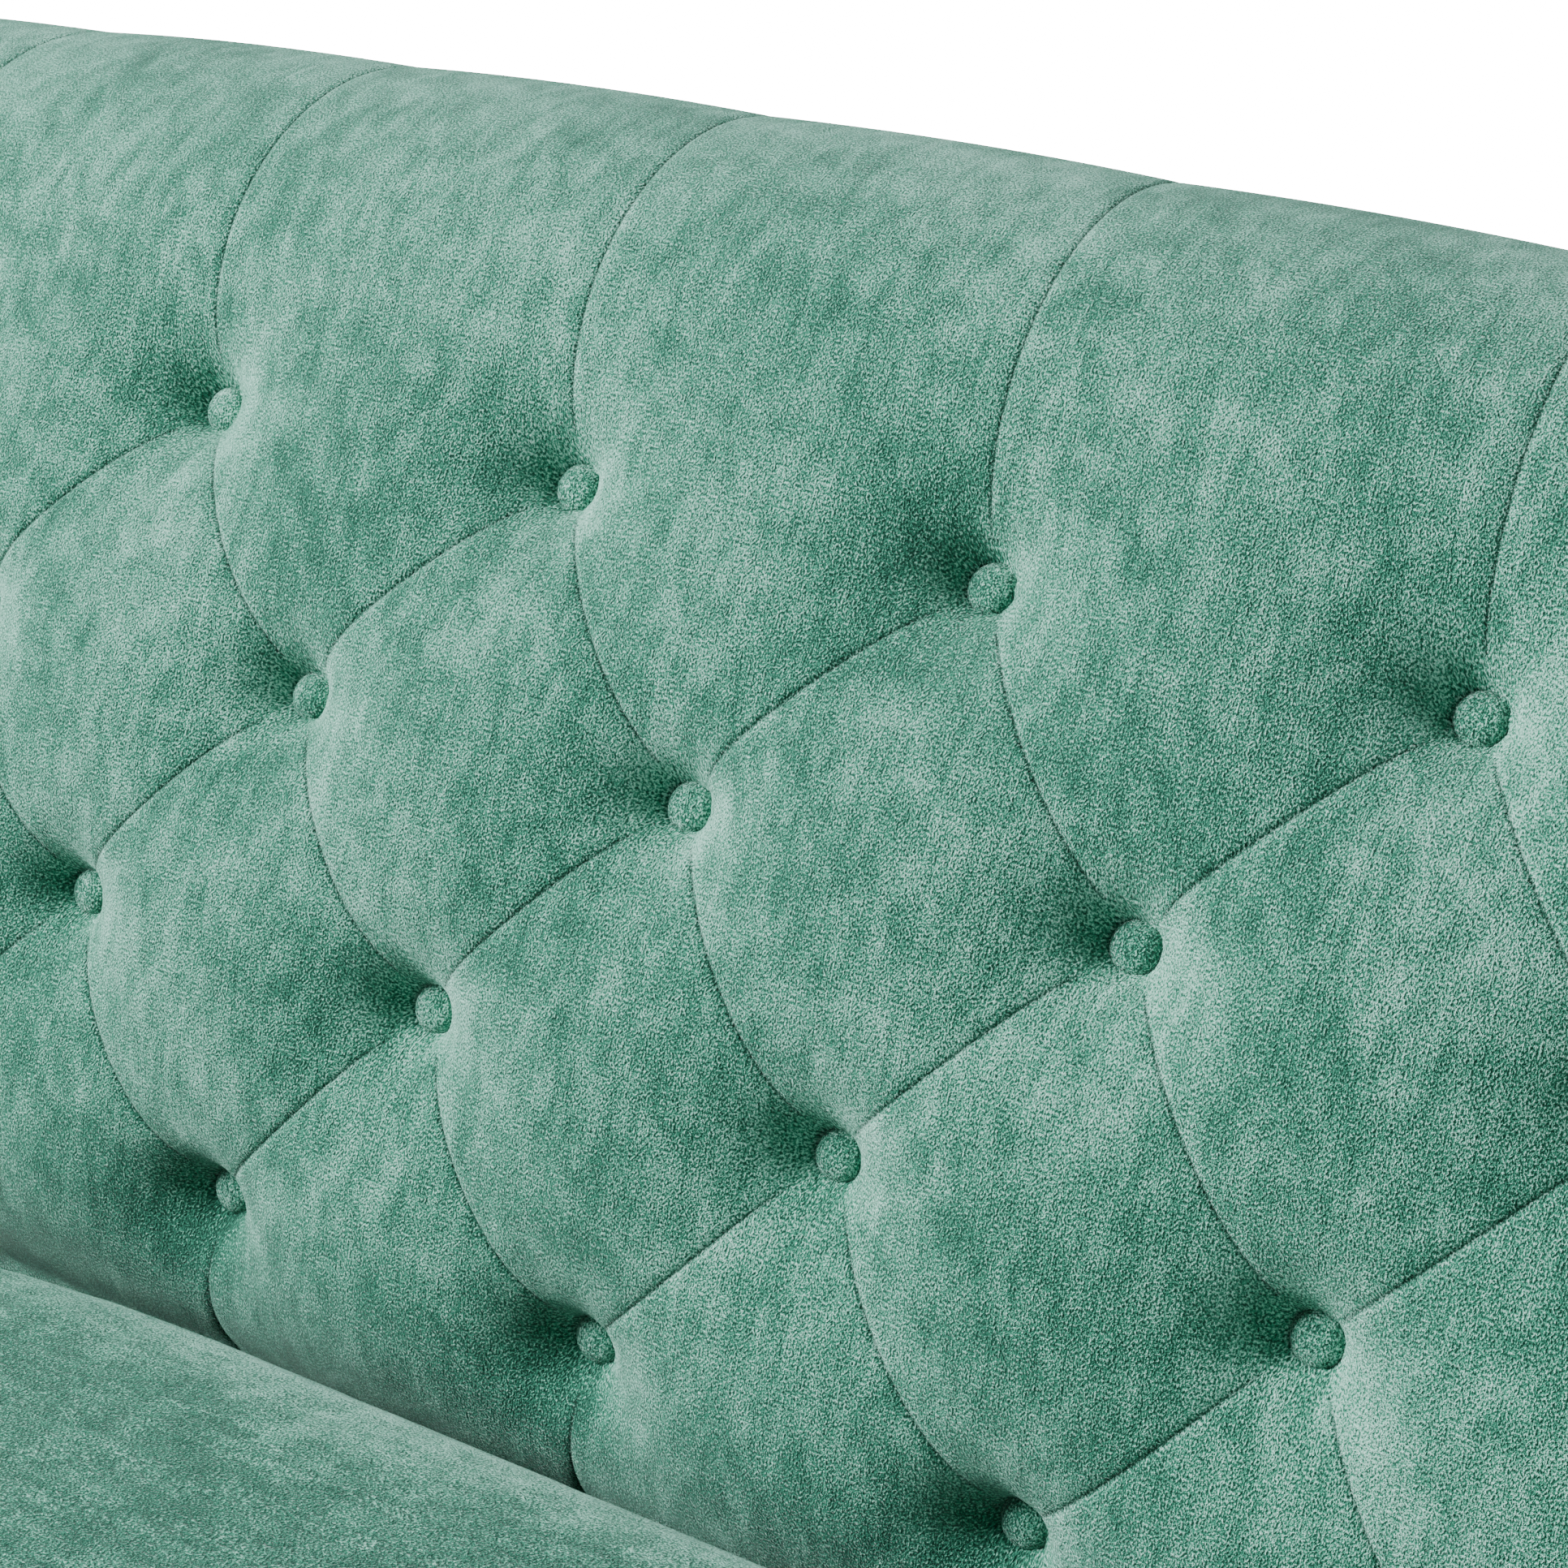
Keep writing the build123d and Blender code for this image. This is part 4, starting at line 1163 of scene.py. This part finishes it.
place_soft(back, "back_tufted_pad", velvet_back)
place_soft(covered_buttons(), "back_buttons", velvet_upright)
left_cushion, right_cushion = seat_cushions()
place_soft(left_cushion, "left_seat_cushion", shaded_velvet_seat, "left_cushion")
place_soft(right_cushion, "right_seat_cushion", shaded_velvet_seat, "right_cushion")
for word, side in (("left", -1), ("right", 1)):
    place_soft(arm_cover(word + "_arm_cover", side, tree), word + "_arm_pad", velvet_side)
    place_soft(arm_facing(word + "_arm_front", side), word + "_arm_facing", velvet_upright)
    place_soft(arm_piping(word + "_arm_welt", side), word + "_arm_piping", velvet_upright)
    place_soft(arm_outside(word + "_arm_outside", side), word + "_arm_outer_panel", velvet_side)
    place_soft(back_end(word + "_back_end", side), word + "_back_facing", velvet_side)
place_soft(outside_back(), "outside_back", velvet_upright)
place_soft(front_border(), "front_border", velvet_upright)
place_soft(deck_cover(), "deck_pad", deck_cloth)
finishes = dress_nodes()
place_piece(sinuous_springs(), "seat_springs", finishes["spring_steel"])
sheet = dust_sheet()
place_piece(sheet, "dust_cover", finishes["dust_cloth"])


# Room, lights and camera

def floor():
    """A pale floor that fades to white away from the sofa, as the camera sees it."""
    bpy.ops.object.select_all(action="DESELECT")
    bpy.ops.mesh.primitive_plane_add(size=60, location=(0, 0, 0))
    ground = bpy.context.object
    ground.name = "floor"
    material, nodes, links, shader = blank_finish("pale_floor")
    set_inputs(shader, {
        "Base Color": (0.90, 0.90, 0.90, 1), "Roughness": 0.9, "Emission Strength": WHITE_GLOW})
    place = nodes.new("ShaderNodeTexCoord")
    away = nodes.new("ShaderNodeVectorMath")
    away.operation = "LENGTH"
    glow = nodes.new("ShaderNodeMapRange")
    set_inputs(glow, {"From Min": 1.8, "From Max": 4.5, "To Min": 0.012})
    seen = nodes.new("ShaderNodeLightPath")
    bright = nodes.new("ShaderNodeMath")
    bright.operation = "MULTIPLY"
    links.new(place.outputs["Object"], away.inputs[0])
    links.new(away.outputs["Value"], glow.inputs["Value"])
    links.new(glow.outputs["Result"], bright.inputs[0])
    links.new(seen.outputs["Is Camera Ray"], bright.inputs[1])
    links.new(bright.outputs[0], shader.inputs["Emission Color"])
    ground.data.materials.append(material)


def area_light(name, place, aim, size, power):
    data = bpy.data.lights.new(name, "AREA")
    data.shape = "RECTANGLE"
    data.size, data.size_y = size
    data.energy = power
    lamp = bpy.data.objects.new(name, data)
    lamp.location = place
    lamp.rotation_euler = (Vector(aim) - Vector(place)).to_track_quat("-Z", "Y").to_euler()
    lamp.visible_camera = False
    bpy.context.scene.collection.objects.link(lamp)


def room():
    """The floor, a dim even light that the camera sees as white, and the lamps."""
    floor()
    world = bpy.data.worlds.new("room")
    bpy.context.scene.world = world
    world.use_nodes = True
    nodes, links = world.node_tree.nodes, world.node_tree.links
    sky = nodes["Background"]
    set_inputs(sky, {"Color": (1, 1, 1, 1), "Strength": ROOM_LIGHT})
    bright = nodes.new("ShaderNodeBackground")
    bright.inputs["Strength"].default_value = WHITE_GLOW
    seen = nodes.new("ShaderNodeLightPath")
    mix = nodes.new("ShaderNodeMixShader")
    links.new(seen.outputs["Is Camera Ray"], mix.inputs["Fac"])
    links.new(sky.outputs["Background"], mix.inputs[1])
    links.new(bright.outputs["Background"], mix.inputs[2])
    links.new(mix.outputs["Shader"], nodes["World Output"].inputs["Surface"])
    for light in LIGHTS:
        area_light(*light)


def camera():
    """The photo's camera, as it was fitted to the buttons."""
    data = bpy.data.cameras.new("photo_camera")
    data.sensor_width = CAMERA_SENSOR
    data.lens = CAMERA_SENSOR * CAMERA_FOCUS
    data.clip_end = 200
    eye = bpy.data.objects.new("photo_camera", data)
    a, e = CAMERA_AZIMUTH, CAMERA_ELEVATION
    back_way = Vector((sin(a) * cos(e), -cos(a) * cos(e), sin(e)))
    right = Vector((cos(a), sin(a), 0))
    up = back_way.cross(right)
    turn = Matrix((right, up, back_way)).transposed().to_4x4()
    eye.matrix_world = Matrix.Translation(CAMERA_PLACE) @ turn
    bpy.context.scene.collection.objects.link(eye)
    bpy.context.scene.camera = eye


room()
camera()
